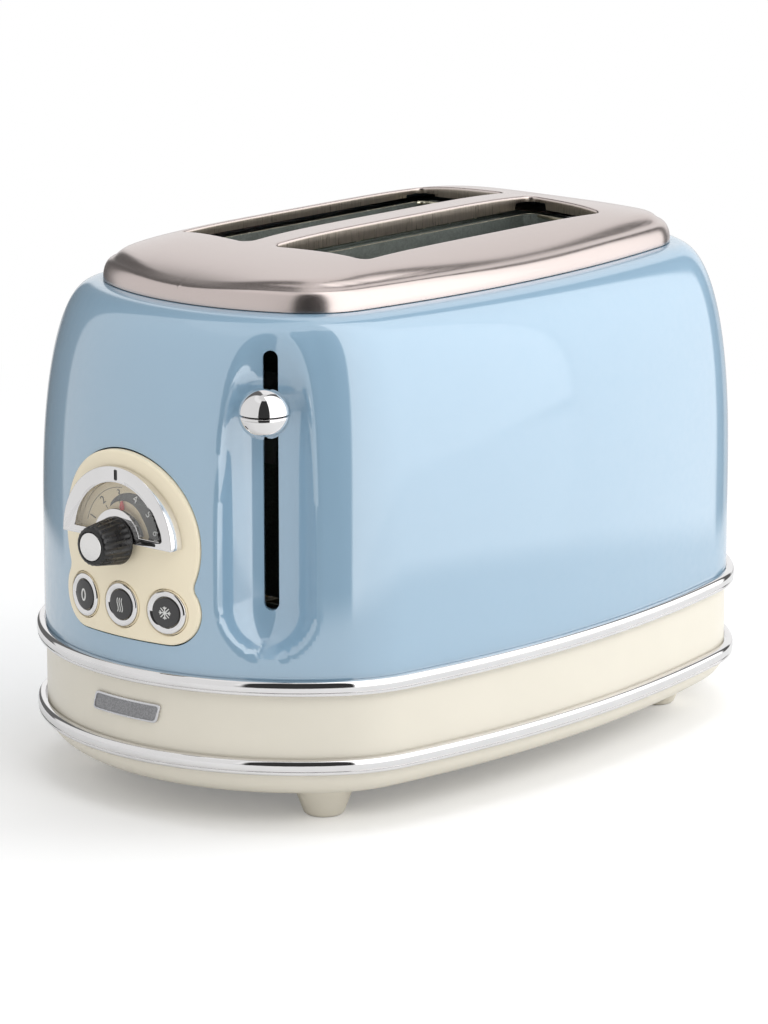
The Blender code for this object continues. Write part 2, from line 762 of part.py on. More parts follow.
def control_panel():
    slab = end_wall_slab("panel_wall", PANEL_PROUD - PANEL_THICKNESS, PANEL_PROUD,
                         PANEL_FOOT_Z - BODY_CORNER_RADIUS, PANEL_LOBE_Z + PANEL_LOBE_RADIUS + OVERRUN)
    front = BODY_HALF_LENGTH + OVERRUN
    panel = prism("control_panel", [panel_outline()], BODY.end_radius, front, face_frame(0))
    common(panel, slab)
    dial_opening = half_disc(WINDOW_RADIUS + GAP, DIAL_Z + SCALE_CHORD_RISE)
    cut(panel, prism("dial_opening", [dial_opening], BODY.end_radius, front, face_frame(0)))
    cut(panel, round_bar("panel_shaft_hole", SHAFT_RADIUS + 2 * GAP, BODY.end_radius, front,
                         face_frame(0, z=DIAL_Z)))
    for side in (-1, 0, 1):
        hole = round_bar(f"button_hole_{side + 1}", BUTTON_RADIUS + GAP, BODY.end_radius, front,
                         face_frame(0, z=BUTTON_Z) @ Matrix.Translation((side * BUTTON_PITCH, 0, 0)))
        cut(panel, hole)
    for side in (-1, 1):
        seat = end_face(PANEL_POST_Y, PANEL_PROUD - PANEL_THICKNESS / 2)
        place = face_frame(0, z=PANEL_POST_Z) @ Matrix.Translation((side * PANEL_POST_Y, 0, 0))
        join(panel, round_bar(f"panel_post_{(side + 1) // 2}", PANEL_POST_RADIUS, -BOARD_X + GAP, seat, place,
                              SMALL_ROUND_STEPS))
    return finish(panel, PANEL_CREAM)


# Browning dial

def dial_bezel():
    foot_z = DIAL_Z - BEZEL_FOOT_DROP
    outline = half_disc(BEZEL_RADIUS, foot_z, BEZEL_STEPS)
    window = dial_sector(WINDOW_INNER_RADIUS, WINDOW_RADIUS, foot_z + BEZEL_BAR_HEIGHT)
    bezel = prism("dial_bezel", [outline, window], BODY_HALF_LENGTH - OVERRUN, BEZEL_FRONT, face_frame(0))
    edge = bezel.modifiers.new("Edge", "BEVEL")
    edge.width = BEZEL_CHAMFER
    edge.segments = 1
    edge.limit_method = "ANGLE"
    edge.angle_limit = radians(60)
    cut(bezel, end_wall_slab("bezel_seat", -SHELL_WALL - OVERRUN, PANEL_PROUD + GAP, foot_z - OVERRUN,
                             foot_z + BEZEL_RADIUS + OVERRUN))
    cut(bezel, round_bar("bezel_shaft_hole", SHAFT_RADIUS + 2 * GAP, BODY.end_radius, BEZEL_FRONT + OVERRUN,
                         face_frame(0, z=DIAL_Z)))
    finish(bezel, CHROME)
    lens_front = BEZEL_FRONT - WINDOW_SETBACK
    lens = dial_sector(WINDOW_INNER_RADIUS + GAP, WINDOW_RADIUS - GAP, foot_z + BEZEL_BAR_HEIGHT + GAP)
    finish(prism("dial_window", [lens], lens_front - WINDOW_THICKNESS, lens_front, face_frame(0)), CLEAR)


def dial_scale():
    outline = half_disc(WINDOW_RADIUS, DIAL_Z + SCALE_CHORD_RISE + GAP)
    scale = prism("dial_scale", [outline], SCALE_FRONT - SCALE_THICKNESS, SCALE_FRONT, face_frame(0))
    cut(scale, round_bar("scale_shaft_hole", SHAFT_RADIUS + 2 * GAP, BODY.end_radius, BODY_HALF_LENGTH,
                         face_frame(0, z=DIAL_Z)))
    finish(scale, PANEL_CREAM)


def pot_front():
    return SCALE_FRONT - SCALE_THICKNESS - GAP


def browning_knob(axis):
    """The knob, its cap, shaft and pointer, all turning together on the dial's axis."""
    frame = face_frame(0, z=DIAL_Z)
    back = BEZEL_FRONT + GAP
    front = back + KNOB_LENGTH
    knob = loft("browning_knob", knob_rows(back, front))
    knob.matrix_world = frame
    cut(knob, round_bar("knob_bore", SHAFT_RADIUS + GAP, BODY_HALF_LENGTH, back + KNOB_SHAFT_DEPTH, frame,
                        SMALL_ROUND_STEPS))
    seat = front - CAP_SINK
    cut(knob, round_bar("knob_cap_seat", CAP_RADIUS + GAP, seat - GAP, front + OVERRUN, frame))
    finish(knob, BLACK, axis)
    cap = turned("knob_cap", [(0, seat + CAP_THICKNESS), (CAP_RADIUS - GAP, seat + CAP_THICKNESS),
                              (CAP_RADIUS, seat + CAP_THICKNESS - GAP), (CAP_RADIUS, seat), (0, seat)],
                 ROUND_STEPS, frame)
    finish(cap, SILVER, axis)
    shaft_front = back + KNOB_SHAFT_DEPTH - GAP
    shaft = round_bar("knob_shaft", SHAFT_RADIUS, pot_front() + GAP, shaft_front, frame, SMALL_ROUND_STEPS)
    finish(shaft, STEEL, axis)
    needle_back = SCALE_FRONT + POINTER_STAND_OFF
    root = POINTER_ROOT_WIDTH / 2
    tip = POINTER_TIP_WIDTH / 2
    needle = prism("dial_pointer", [[(root, 0), (tip, POINTER_LENGTH), (-tip, POINTER_LENGTH), (-root, 0)]],
                   needle_back, needle_back + POINTER_THICKNESS, frame)
    join(needle, round_bar("pointer_hub", POINTER_HUB_RADIUS, needle_back, needle_back + POINTER_THICKNESS, frame,
                           SMALL_ROUND_STEPS))
    cut(needle, round_bar("pointer_bore", SHAFT_RADIUS + GAP, needle_back - OVERRUN, needle_back + OVERRUN, frame,
                          SMALL_ROUND_STEPS))
    finish(needle, RED, axis)


def knob_rows(back, front):
    """A plain collar, then a fluted grip that tapers to the tip."""
    def ring(radius, depth, height):
        points = []
        for step in range(2 * KNOB_FLUTES):
            angle = pi * step / KNOB_FLUTES
            reach = radius - (depth if step % 2 else 0)
            points.append((reach * cos(angle), reach * sin(angle), height))
        return points

    shoulder = back + KNOB_COLLAR
    return [ring(KNOB_BASE_RADIUS - GAP, 0, back), ring(KNOB_BASE_RADIUS, 0, back + GAP),
            ring(KNOB_BASE_RADIUS, 0, shoulder),
            ring(KNOB_BASE_RADIUS, KNOB_FLUTE_DEPTH, shoulder + KNOB_FLUTE_DEPTH),
            ring(KNOB_TIP_RADIUS, KNOB_FLUTE_DEPTH, front - KNOB_FLUTE_DEPTH),
            ring(KNOB_TIP_RADIUS - KNOB_FLUTE_DEPTH, 0, front)]


# Push buttons and the board behind them

def push_button(name, side):
    """A cream button with a bright ring and a dark insert, pressed towards the board."""
    y = -side * BUTTON_PITCH
    front = end_face(y, PANEL_PROUD) + BUTTON_PROUD
    frame = face_frame(0, z=BUTTON_Z) @ Matrix.Translation((side * BUTTON_PITCH, 0, 0))
    axis = joint_empty(name + "_slide", (-front, y, BUTTON_Z))
    back = front - BUTTON_DEPTH
    stem_end = -BOARD_X + SWITCH_HEIGHT + BUTTON_TRAVEL + GAP
    insert_seat = front - BUTTON_RING_HEIGHT
    rim = BUTTON_RADIUS - BUTTON_RING_OUTER
    body = turned(name + "_body", [
        (0, insert_seat), (BUTTON_RING_OUTER + GAP, insert_seat), (BUTTON_RING_OUTER + GAP, front - rim / 2),
        (BUTTON_RADIUS, front - rim), (BUTTON_RADIUS, back), (BUTTON_STEM_RADIUS, back),
        (BUTTON_STEM_RADIUS, stem_end), (0, stem_end)], BUTTON_STEPS, frame)
    finish(body, PANEL_CREAM, axis)
    seat = insert_seat + GAP
    ring = turned(name + "_ring", [
        (BUTTON_RING_INNER + rim, front + GAP), (BUTTON_RING_OUTER - rim, front + GAP),
        (BUTTON_RING_OUTER, front - rim / 2), (BUTTON_RING_OUTER, seat), (BUTTON_RING_INNER, seat),
        (BUTTON_RING_INNER, front - rim / 2)], BUTTON_STEPS, frame, closed=True)
    finish(ring, CHROME, axis)
    edge = BUTTON_RING_INNER - GAP
    top = seat + BUTTON_INSERT_HEIGHT
    insert = turned(name + "_insert", [(0, top + BUTTON_INSERT_CROWN),
                                       (edge * BUTTON_CROWN_SHARE, top + BUTTON_INSERT_CROWN * BUTTON_CROWN_SHARE),
                                       (edge, top), (edge, seat), (0, seat)], BUTTON_STEPS, frame)
    finish(insert, BLACK, axis)


def circuit_board():
    board = prism("circuit_board", [rounded_box(-BOARD_HALF_WIDTH, BOARD_HALF_WIDTH, BOARD_FOOT_Z, BOARD_HEAD_Z,
                                                CARRIAGE_CORNER)],
                  -BOARD_X - BOARD_THICKNESS, -BOARD_X, face_frame(0))
    for side in (-1, 0, 1):
        x = side * BUTTON_PITCH
        outline = rounded_box(x - SWITCH_HALF, x + SWITCH_HALF, BUTTON_Z - SWITCH_HALF, BUTTON_Z + SWITCH_HALF,
                              GAP, 1)
        join(board, prism(f"tact_switch_{side + 1}", [outline], -BOARD_X - GAP, -BOARD_X + SWITCH_HEIGHT,
                          face_frame(0)))
    finish(board, BOARD_GREEN)
    finish(round_bar("potentiometer", POT_RADIUS, -BOARD_X + GAP, pot_front(), face_frame(0, z=DIAL_Z)), STEEL)


# Base

def pan_rows(steps, count, grow=0.0, lift=0.0):
    """Rows of the pan's hull, from its flat floor up the rounded side to the trim ring."""
    rows = []
    for row in range(count + 1):
        angle = pi / 2 * row / count
        inset = BAND_SETBACK + PAN_INSET * (1 - sin(angle))
        z = PAN_WALL_Z - (PAN_WALL_Z - PAN_FLOOR_Z) * cos(angle)
        rows.append(level(BODY.grown(grow - inset).points(steps), z + lift))
    rows.append(level(BODY.grown(grow - BAND_SETBACK).points(steps), PAN_TOP_Z + lift))
    return rows


def base_pan():
    pan = loft("base_pan", pan_rows(FINE_STEPS, PAN_ROW_COUNT))
    inside = loft("pan_inside", pan_rows(HIDDEN_STEPS, PAN_HIDDEN_ROW_COUNT, -PAN_WALL, PAN_WALL))
    ribs = []
    runner_y = TRAY_HALF_WIDTH - RUNNER_MARGIN
    for side in (-1, 1):
        ribs.append(block(f"tray_runner_{(side + 1) // 2}",
                          (-TRAY_BACK, side * runner_y - RUNNER_THICKNESS / 2, PAN_FLOOR_Z + PAN_WALL / 2),
                          (BODY_HALF_LENGTH - RUNNER_END_SETBACK, side * runner_y + RUNNER_THICKNESS / 2,
                           TRAY_FLOOR_Z - GAP)))
    for place in corner_places(POST_X, POST_Y):
        ribs.append(round_bar("chassis_post", POST_RADIUS, PAN_FLOOR_Z + PAN_WALL / 2, CHASSIS_FLOOR_Z - GAP,
                              Matrix.Translation((*place, 0)), SMALL_ROUND_STEPS))
    cut(pan, inside)
    join(pan, *ribs)
    vents = []
    first = -(VENT_COUNT - 1) / 2 * VENT_PITCH
    for side in (-1, 1):
        for index in range(VENT_COUNT):
            middle = side * VENT_X
            y = first + index * VENT_PITCH
            vents.append(rounded_box(middle - VENT_LENGTH / 2, middle + VENT_LENGTH / 2, y - VENT_WIDTH / 2,
                                     y + VENT_WIDTH / 2, VENT_CORNER, 1))
    cut(pan, prism("floor_vents", vents, PAN_FLOOR_Z - OVERRUN, PAN_FLOOR_Z + PAN_WALL + OVERRUN))
    for place in corner_places(FOOT_X, FOOT_Y):
        cut(pan, round_bar("foot_hole", FOOT_STUD_RADIUS + GAP, PAN_FLOOR_Z - OVERRUN,
                           PAN_FLOOR_Z + PAN_WALL + OVERRUN, Matrix.Translation((*place, 0)), SMALL_ROUND_STEPS))
    return finish(pan, CREAM)


def corner_places(x, y):
    return [(-x, -y), (-x, y), (x, -y), (x, y)]


def feet():
    names = ("foot_front_near", "foot_front_far", "foot_rear_near", "foot_rear_far")
    for name, place in zip(names, corner_places(FOOT_X, FOOT_Y)):
        head = PAN_FLOOR_Z + PAN_WALL + FOOT_STUD_RISE
        foot = turned(name, [(0, FOOT_HEAD_Z), (FOOT_HEAD_RADIUS, FOOT_HEAD_Z), (FOOT_TOE_RADIUS, FOOT_ROUND),
                             (FOOT_TOE_RADIUS - FOOT_ROUND / 3, FOOT_ROUND / 3), (FOOT_TOE_RADIUS - FOOT_ROUND, 0),
                             (0, 0)], ROUND_STEPS, Matrix.Translation((*place, 0)))
        hull = loft(name + "_seat", pan_rows(FINE_STEPS, PAN_ROW_COUNT, GAP, -GAP))
        cut(foot, hull)
        join(foot, round_bar(name + "_stud", FOOT_STUD_RADIUS, PAN_FLOOR_Z / 2, head,
                             Matrix.Translation((*place, 0)), SMALL_ROUND_STEPS))
        finish(foot, CREAM)


def base_band():
    foot_z = PAN_TOP_Z + GAP
    inner = BAND.grown(-BAND_WALL)
    rows = [level(BAND.points(), foot_z), level(BAND.points(), BAND_TOP_Z),
            level(inner.points(), BAND_TOP_Z), level(inner.points(), foot_z)]
    band = loft("base_band", rows, ring=True)
    cut(band, block("tray_opening", (BODY_HALF_LENGTH / 2, -TRAY_FRONT_HALF_WIDTH - GAP, TRAY_FRONT_FOOT_Z - GAP),
                    (BODY_HALF_LENGTH + OVERRUN, TRAY_FRONT_HALF_WIDTH + GAP, TRAY_FRONT_HEAD_Z + GAP)))
    cut(band, round_bar("gland_hole", GLAND_RADIUS + GAP, 0, BODY_HALF_WIDTH + OVERRUN, gland_frame()))
    return finish(band, CREAM)


def trim_ring(name, z):
    """A half-round bright strip that covers the joint between two mouldings."""
    half = TRIM_HEIGHT / 2
    rows = []
    for step in range(TRIM_ARC_STEPS + 1):
        angle = pi * (step / TRIM_ARC_STEPS - 1 / 2)
        rows.append(level(BODY.grown(GAP + (TRIM_PROUD - GAP) * cos(angle)).points(), z + half * sin(angle)))
    finish(loft(name, rows, ring=True), CHROME)


def badge_plate():
    """A bare plate with a raised rim, bent to the end of the band."""
    front = BODY_HALF_LENGTH + OVERRUN
    outline = rounded_box(-BADGE_HALF_LENGTH, BADGE_HALF_LENGTH, BADGE_Z - BADGE_HALF_HEIGHT,
                          BADGE_Z + BADGE_HALF_HEIGHT, BADGE_CORNER)
    badge = prism("badge_plate", [outline], BODY.end_radius, front, face_frame(0))
    common(badge, end_wall_slab("badge_wall", GAP, GAP + BADGE_PROUD, PAN_TOP_Z, BAND_TOP_Z, BAND))
    field = rounded_box(-BADGE_HALF_LENGTH + BADGE_RIM, BADGE_HALF_LENGTH - BADGE_RIM,
                        BADGE_Z - BADGE_HALF_HEIGHT + BADGE_RIM, BADGE_Z + BADGE_HALF_HEIGHT - BADGE_RIM,
                        BADGE_CORNER - BADGE_RIM)
    sink = prism("badge_field", [field], BODY.end_radius, front, face_frame(0))
    common(sink, end_wall_slab("badge_sink", GAP + BADGE_PROUD - BADGE_FIELD_SINK, OVERRUN,
                               PAN_TOP_Z, BAND_TOP_Z, BAND))
    cut(badge, sink)
    finish(badge, SILVER)


def gland_frame():
    return Matrix.Translation((GLAND_X, 0, GLAND_Z)) @ Matrix.Rotation(-pi / 2, 4, "X")


def band_side(x):
    """Half the width of the band at one X along its long side."""
    radius = BODY.side_radius - BAND_SETBACK
    return sqrt(radius ** 2 - x ** 2) + BODY_HALF_WIDTH - BODY.side_radius


def cord_gland():
    """The grommet in the band that a mains lead leaves through."""
    wall = band_side(GLAND_X - GLAND_FLANGE_RADIUS)
    back = band_side(GLAND_X) - GLAND_DEPTH
    profile = [(GLAND_BORE, wall + GAP + GLAND_FLANGE), (GLAND_FLANGE_RADIUS - GAP, wall + GAP + GLAND_FLANGE),
               (GLAND_FLANGE_RADIUS, wall + GLAND_FLANGE), (GLAND_FLANGE_RADIUS, wall + GAP),
               (GLAND_RADIUS, wall + GAP), (GLAND_RADIUS, back), (GLAND_BORE, back)]
    finish(turned("cord_gland", profile, ROUND_STEPS, gland_frame(), closed=True), BLACK)


def crumb_tray(axis):
    """A sheet tray behind a piece of the band's own curve, with a pull along its lower edge."""
    front = prism("crumb_tray", [rounded_box(-TRAY_FRONT_HALF_WIDTH, TRAY_FRONT_HALF_WIDTH, TRAY_FRONT_FOOT_Z,
                                             TRAY_FRONT_HEAD_Z, TRAY_CORNER)],
                  BODY_HALF_LENGTH / 2, BODY_HALF_LENGTH + OVERRUN, face_frame(pi))
    common(front, end_wall_slab("tray_wall", -BAND_WALL, 0, PAN_TOP_Z, BAND_TOP_Z, BAND))
    pan = block("tray_pan", (-TRAY_BACK, -TRAY_HALF_WIDTH, TRAY_FLOOR_Z),
                (end_reach(TRAY_HALF_WIDTH, -BAND_WALL / 2), TRAY_HALF_WIDTH, TRAY_FLOOR_Z + TRAY_DEPTH))
    cut(pan, block("tray_hollow", (TRAY_WALL - TRAY_BACK, TRAY_WALL - TRAY_HALF_WIDTH, TRAY_FLOOR_Z + TRAY_WALL),
                   (BODY_HALF_LENGTH, TRAY_HALF_WIDTH - TRAY_WALL, TRAY_FLOOR_Z + TRAY_DEPTH + OVERRUN)))
    inner_y = TRAY_HALF_WIDTH - TRAY_WALL
    bridge = block("tray_bridge", (end_reach(TRAY_HALF_WIDTH, -TRAY_BRIDGE_LENGTH), -inner_y, TRAY_FLOOR_Z),
                   (BODY_HALF_LENGTH, inner_y, TRAY_FLOOR_Z + TRAY_WALL))
    common(bridge, loft("tray_bridge_edge", [level(BAND.grown(-BAND_WALL / 2).points(), PAN_TOP_Z),
                                             level(BAND.grown(-BAND_WALL / 2).points(), BAND_TOP_Z)]))
    pull = prism("tray_pull", [rounded_box(-TRAY_PULL_HALF_WIDTH, TRAY_PULL_HALF_WIDTH, TRAY_FRONT_FOOT_Z,
                                           TRAY_FRONT_FOOT_Z + TRAY_PULL_THICKNESS, TRAY_CORNER / 2)],
                 BODY_HALF_LENGTH / 2, BODY_HALF_LENGTH + OVERRUN, face_frame(pi))
    common(pull, end_wall_slab("tray_pull_wall", -BAND_WALL / 2, TRAY_PULL_REACH, PAN_TOP_Z, BAND_TOP_Z, BAND))
    join(front, pan, bridge, pull)
    finish(front, CREAM, axis)


def end_reach(y, offset):
    """How far out along X the band lies at one Y."""
    return end_face(y, offset - BAND_SETBACK)


# Top plate

def bread_slot(side, margin=0.0):
    """A slot whose ends lean like the edge of the plate."""
    low, high = BREAD_SLOT_INNER_Y - margin, BREAD_SLOT_OUTER_Y + margin
    radius = BREAD_SLOT_CORNER + margin
    long, short = BREAD_SLOT_HALF_LENGTH + margin, BREAD_SLOT_HALF_LENGTH + margin - BREAD_SLOT_END_LEAN
    points = []
    corners = ((long, low, -1), (short, high, 0), (-short, high, 1), (-long, low, 2))
    for x, y, quarter in corners:
        centre = (x - radius * (1 if x > 0 else -1), y + radius * (1 if y == low else -1))
        points += arc(centre, radius, quarter * pi / 2, (quarter + 1) * pi / 2, 3)
    if side > 0:
        return points
    return [(x, -y) for x, y in reversed(points)]


def dome_rows(plate, foot_z, drop, steps, roll_steps, shares):
    """Rows from the rolled edge of the plate up over its dome to the flat in the middle."""
    rows = [level(plate.grown(-GAP).points(steps), foot_z)]
    for step in range(roll_steps + 1):
        angle = pi / 2 * step / roll_steps
        inset = ROLL_WIDTH * (1 - cos(angle))
        z = SHELL_TOP_Z + 2 * GAP + ROLL_HEIGHT * sin(angle) - drop
        rows.append(level(plate.grown(-inset).points(steps), z))
    top = plate.grown(-ROLL_WIDTH).points(steps)
    for share in shares:
        z = SHELL_TOP_Z + 2 * GAP + ROLL_HEIGHT + DOME_RISE * (1 - share ** DOME_POWER) - drop
        rows.append(level([(x * share, y * share) for x, y in top], z))
    return rows


def top_plate():
    foot_z = SHELL_TOP_Z + GAP
    plate = loft("top_plate", dome_rows(PLATE, foot_z, 0, FINE_STEPS, ROLL_STEPS, DOME_SCALE_SHARES))
    hollow = loft("plate_hollow", dome_rows(PLATE.grown(-SHEET), foot_z - OVERRUN, SHEET, FINE_STEPS,
                                            ROLL_HIDDEN_STEPS, DOME_HIDDEN_SHARES))
    flange_top = SHELL_TOP_Z + ROLL_HEIGHT + DOME_RISE + OVERRUN
    for side, name in ((-1, "near"), (1, "far")):
        cut(hollow, prism(f"{name}_slot_flange", [bread_slot(side, SHEET)], SLOT_FLANGE_FOOT_Z, flange_top))
    cut(plate, hollow)
    for side, name in ((-1, "near"), (1, "far")):
        cut(plate, prism(f"{name}_slot_cut", [bread_slot(side)], foot_z - OVERRUN, flange_top))
    reliefs = []
    for side in (-1, 1):
        for x in (-BREAD_SLOT_HALF_LENGTH, BREAD_SLOT_HALF_LENGTH):
            for y, lean in ((BREAD_SLOT_INNER_Y, 0), (BREAD_SLOT_OUTER_Y, BREAD_SLOT_END_LEAN)):
                end = abs(x) - lean
                inward = side if y == BREAD_SLOT_INNER_Y else -side
                reliefs.append(relief_corner(end * (1 if x > 0 else -1), y * side, inward))
    cut(plate, prism("flange_reliefs", reliefs, foot_z - OVERRUN, relief_head()))
    return finish(plate, BRUSHED)


def relief_head():
    """The gaps at the corners of the flanges stop just under the sheet there."""
    share = max(BREAD_SLOT_HALF_LENGTH / PLATE_HALF_LENGTH, BREAD_SLOT_OUTER_Y / PLATE_HALF_WIDTH)
    crown = SHELL_TOP_Z + ROLL_HEIGHT + DOME_RISE * (1 - share ** DOME_POWER)
    return crown - SHEET - RELIEF_HEAD_DROP


def relief_corner(x, y, inward):
    """A small square over one corner of a slot, where the folded flanges leave a gap."""
    reach = RELIEF_LENGTH
    outside = SHEET + GAP
    xs = sorted((x - reach * (1 if x > 0 else -1), x + outside * (1 if x > 0 else -1)))
    ys = sorted((y + inward * reach, y - inward * outside))
    return [(xs[0], ys[0]), (xs[1], ys[0]), (xs[1], ys[1]), (xs[0], ys[1])]


# Chassis

def chassis_floor():
    half_width = CHASSIS_HALF_WIDTH + CHASSIS_FLOOR_MARGIN
    outline = rounded_box(-CHASSIS_HALF_LENGTH - CHASSIS_FLOOR_FRONT_REACH,
                          CHASSIS_HALF_LENGTH + CHASSIS_FLOOR_REAR_REACH, -half_width, half_width, CHASSIS_CORNER)
    crumb_x, crumb_y = CHASSIS_HALF_LENGTH - CRUMB_END_MARGIN, CHASSIS_HALF_WIDTH - CRUMB_SIDE_MARGIN
    crumbs = rounded_box(-crumb_x, crumb_x, -crumb_y, crumb_y, CHASSIS_CORNER)
    finish(prism("chassis_floor", [outline, crumbs], CHASSIS_FLOOR_Z, CHASSIS_FLOOR_Z + CHASSIS_SHEET), GALVANISED)


def chassis_end(name, x, racks):
    """An upright end plate with slots for the bread racks and the ends of the guides."""
    outline = rounded_box(-CHASSIS_HALF_WIDTH, CHASSIS_HALF_WIDTH, CHASSIS_FLOOR_Z + CHASSIS_SHEET + GAP,
                          FRAME_Z - GAP, CHASSIS_CORNER / 2)
    holes = []
    for side in (-1, 1):
        half = RACK_THICKNESS / 2 + 2 * GAP
        y = side * RACK_Y
        if racks:
            holes.append(rectangle(y - half, y + half, RACK_Z - LEVER_DOWN - 2 * GAP,
                                   RACK_Z + RACK_HEIGHT + LEVER_UP + 2 * GAP))
        for guide_y, inward in ((GUIDE_INNER_Y, 1), (GUIDE_OUTER_Y, -1)):
            closed = guide_y + inward * GUIDE_TRAVEL
            opened = guide_y - inward * GUIDE_TRAVEL * LEVER_UP / LEVER_DOWN
            low = min(closed, opened) - GUIDE_WIRE / 2 - 2 * GAP
            high = max(closed, opened) + GUIDE_WIRE / 2 + 2 * GAP
            left, right = sorted((side * low, side * high))
            for z in (GUIDE_FOOT_Z, GUIDE_HEAD_Z):
                holes.append(rectangle(left, right, z - 2 * GAP, z + GUIDE_WIRE + 2 * GAP))
    finish(prism(name, [outline, *holes], x, x + CHASSIS_SHEET, FACING_X), GALVANISED)


def reflector(name, side):
    """A side plate with pressed ribs that stiffen it."""
    inner = CHASSIS_HALF_WIDTH - CHASSIS_SHEET - GAP
    low, high = sorted((side * inner, side * (inner - CHASSIS_SHEET)))
    foot_z, head_z = CHASSIS_FLOOR_Z + CHASSIS_SHEET + GAP, FRAME_Z - GAP
    half = CHASSIS_HALF_LENGTH - GAP
    plate = block(name, (-half, low, foot_z), (half, high, head_z))
    step = (head_z - foot_z) / (REFLECTOR_RIB_COUNT + 1)
    for index in range(REFLECTOR_RIB_COUNT):
        z = foot_z + step * (index + 1)
        out_low, out_high = sorted((side * (inner - GAP), side * (inner + REFLECTOR_RIB_DEPTH)))
        rib = block(f"{name}_rib_{index}", (-half + step, out_low, z - REFLECTOR_RIB_HALF),
                    (half - step, out_high, z + REFLECTOR_RIB_HALF))
        join(plate, rib)
    finish(plate, GALVANISED)


def sleeve_loop(side, margin):
    """The mouth of a bread chamber, a little inside the slot above it."""
    half = BREAD_SLOT_HALF_LENGTH - SLEEVE_SETBACK + margin
    inner, outer = BREAD_SLOT_INNER_Y + SLEEVE_SETBACK - margin, BREAD_SLOT_OUTER_Y - SLEEVE_SETBACK + margin
    low, high = sorted((side * inner, side * outer))
    return rounded_box(-half, half, low, high, BREAD_SLOT_CORNER + margin, 2)


def chassis_top_frame():
    """The sheet that ties the chassis together, with a folded sleeve round each bread chamber."""
    half_length, half_width = CHASSIS_HALF_LENGTH + FRAME_MARGIN, CHASSIS_HALF_WIDTH
    right, left = half_length - FRAME_CORNER, FRAME_CORNER - half_length
    low, high = FRAME_CORNER - half_width, half_width - FRAME_CORNER
    end = ROD_X - FRAME_TONGUE_REACH
    tongue = [(-half_length, FRAME_TONGUE_HALF_WIDTH), (end, FRAME_TONGUE_HALF_WIDTH),
              (end, -FRAME_TONGUE_HALF_WIDTH), (-half_length, -FRAME_TONGUE_HALF_WIDTH)]
    outline = [*arc((right, low), FRAME_CORNER, -pi / 2, 0, 3), *arc((right, high), FRAME_CORNER, 0, pi / 2, 3),
               *arc((left, high), FRAME_CORNER, pi / 2, pi, 3), *tongue,
               *arc((left, low), FRAME_CORNER, pi, pi * 3 / 2, 3)]
    frame = prism("chassis_top_frame", [outline], FRAME_Z, FRAME_Z + FRAME_SHEET)
    for side, name in ((-1, "near"), (1, "far")):
        join(frame, prism(f"{name}_sleeve", [sleeve_loop(side, FRAME_SHEET)], SLEEVE_FOOT_Z, SLEEVE_HEAD_Z))
    for side, name in ((-1, "near"), (1, "far")):
        cut(frame, prism(f"{name}_mouth", [sleeve_loop(side, 0)], SLEEVE_FOOT_Z - OVERRUN, SLEEVE_HEAD_Z + OVERRUN))
    finish(frame, GALVANISED)


def heater(name, y):
    """A mica card held by four tabs, with one heating wire wound round it."""
    reach = CHASSIS_HALF_LENGTH - GAP
    outline = [(-CARD_HALF_LENGTH, CARD_FOOT_Z + CARD_TAB_HEIGHT), (-reach, CARD_FOOT_Z + CARD_TAB_HEIGHT),
               (-reach, CARD_FOOT_Z)]
    outline += [(-x, z) for x, z in reversed(outline)]
    outline += [(x, CARD_FOOT_Z + CARD_HEAD_Z - z) for x, z in reversed(outline)]
    card = prism("heater_card_" + name, [outline], -y - CARD_THICKNESS / 2, -y + CARD_THICKNESS / 2, FACING_Y)
    finish(card, MICA)
    away = CARD_THICKNESS / 2 + GAP + RIBBON_RADIUS
    half = CARD_HALF_LENGTH + GAP + RIBBON_RADIUS
    foot, head = CARD_FOOT_Z + RIBBON_MARGIN, CARD_HEAD_Z - RIBBON_MARGIN
    corners = ((-half, -away), (half, -away), (half, away), (-half, away))
    path = []
    for turn in range(RIBBON_TURNS):
        for index, (x, side) in enumerate(corners):
            share = (turn + (index // 2) / 2 + (index % 2) * RIBBON_CLIMB_SHARE) / RIBBON_TURNS
            path.append((x, y + side, foot + (head - foot) * share))
    finish_curve(wire("heater_winding_" + name, path, RIBBON_RADIUS, 0), NICHROME)


def bread_guide(name, y):
    """A grid of upright wires between two rails that run out through the end plates."""
    half_wire = GUIDE_WIRE / 2
    reach = CHASSIS_HALF_LENGTH + CHASSIS_SHEET + GUIDE_WIRE
    post = GUIDE_HALF_LENGTH + half_wire
    outline = [(-reach, GUIDE_FOOT_Z), (reach, GUIDE_FOOT_Z), (reach, GUIDE_FOOT_Z + GUIDE_WIRE),
               (post, GUIDE_FOOT_Z + GUIDE_WIRE), (post, GUIDE_HEAD_Z), (reach, GUIDE_HEAD_Z),
               (reach, GUIDE_HEAD_Z + GUIDE_WIRE)]
    outline += [(-x, z) for x, z in reversed(outline[2:])]
    pitch = 2 * GUIDE_HALF_LENGTH / (GUIDE_WIRE_COUNT - 1)
    low, high = GUIDE_FOOT_Z + GUIDE_WIRE, GUIDE_HEAD_Z
    loops = [outline]
    for index in range(GUIDE_WIRE_COUNT - 1):
        left = -GUIDE_HALF_LENGTH + index * pitch + half_wire
        right = -GUIDE_HALF_LENGTH + (index + 1) * pitch - half_wire
        loops.append([(left, low), (right, low), (right, high), (left, high)])
    guide = prism("bread_guide_" + name, loops, -y - half_wire, -y + half_wire, FACING_Y)
    axis = joint_empty(f"bread_guide_{name}_slide", (0, y, GUIDE_FOOT_Z))
    finish(guide, WIRE_STEEL, axis)


# Lever and carriage

def lever_frame():
    return face_frame(LEVER_ANGLE, centre_x=END_CENTRE_X)


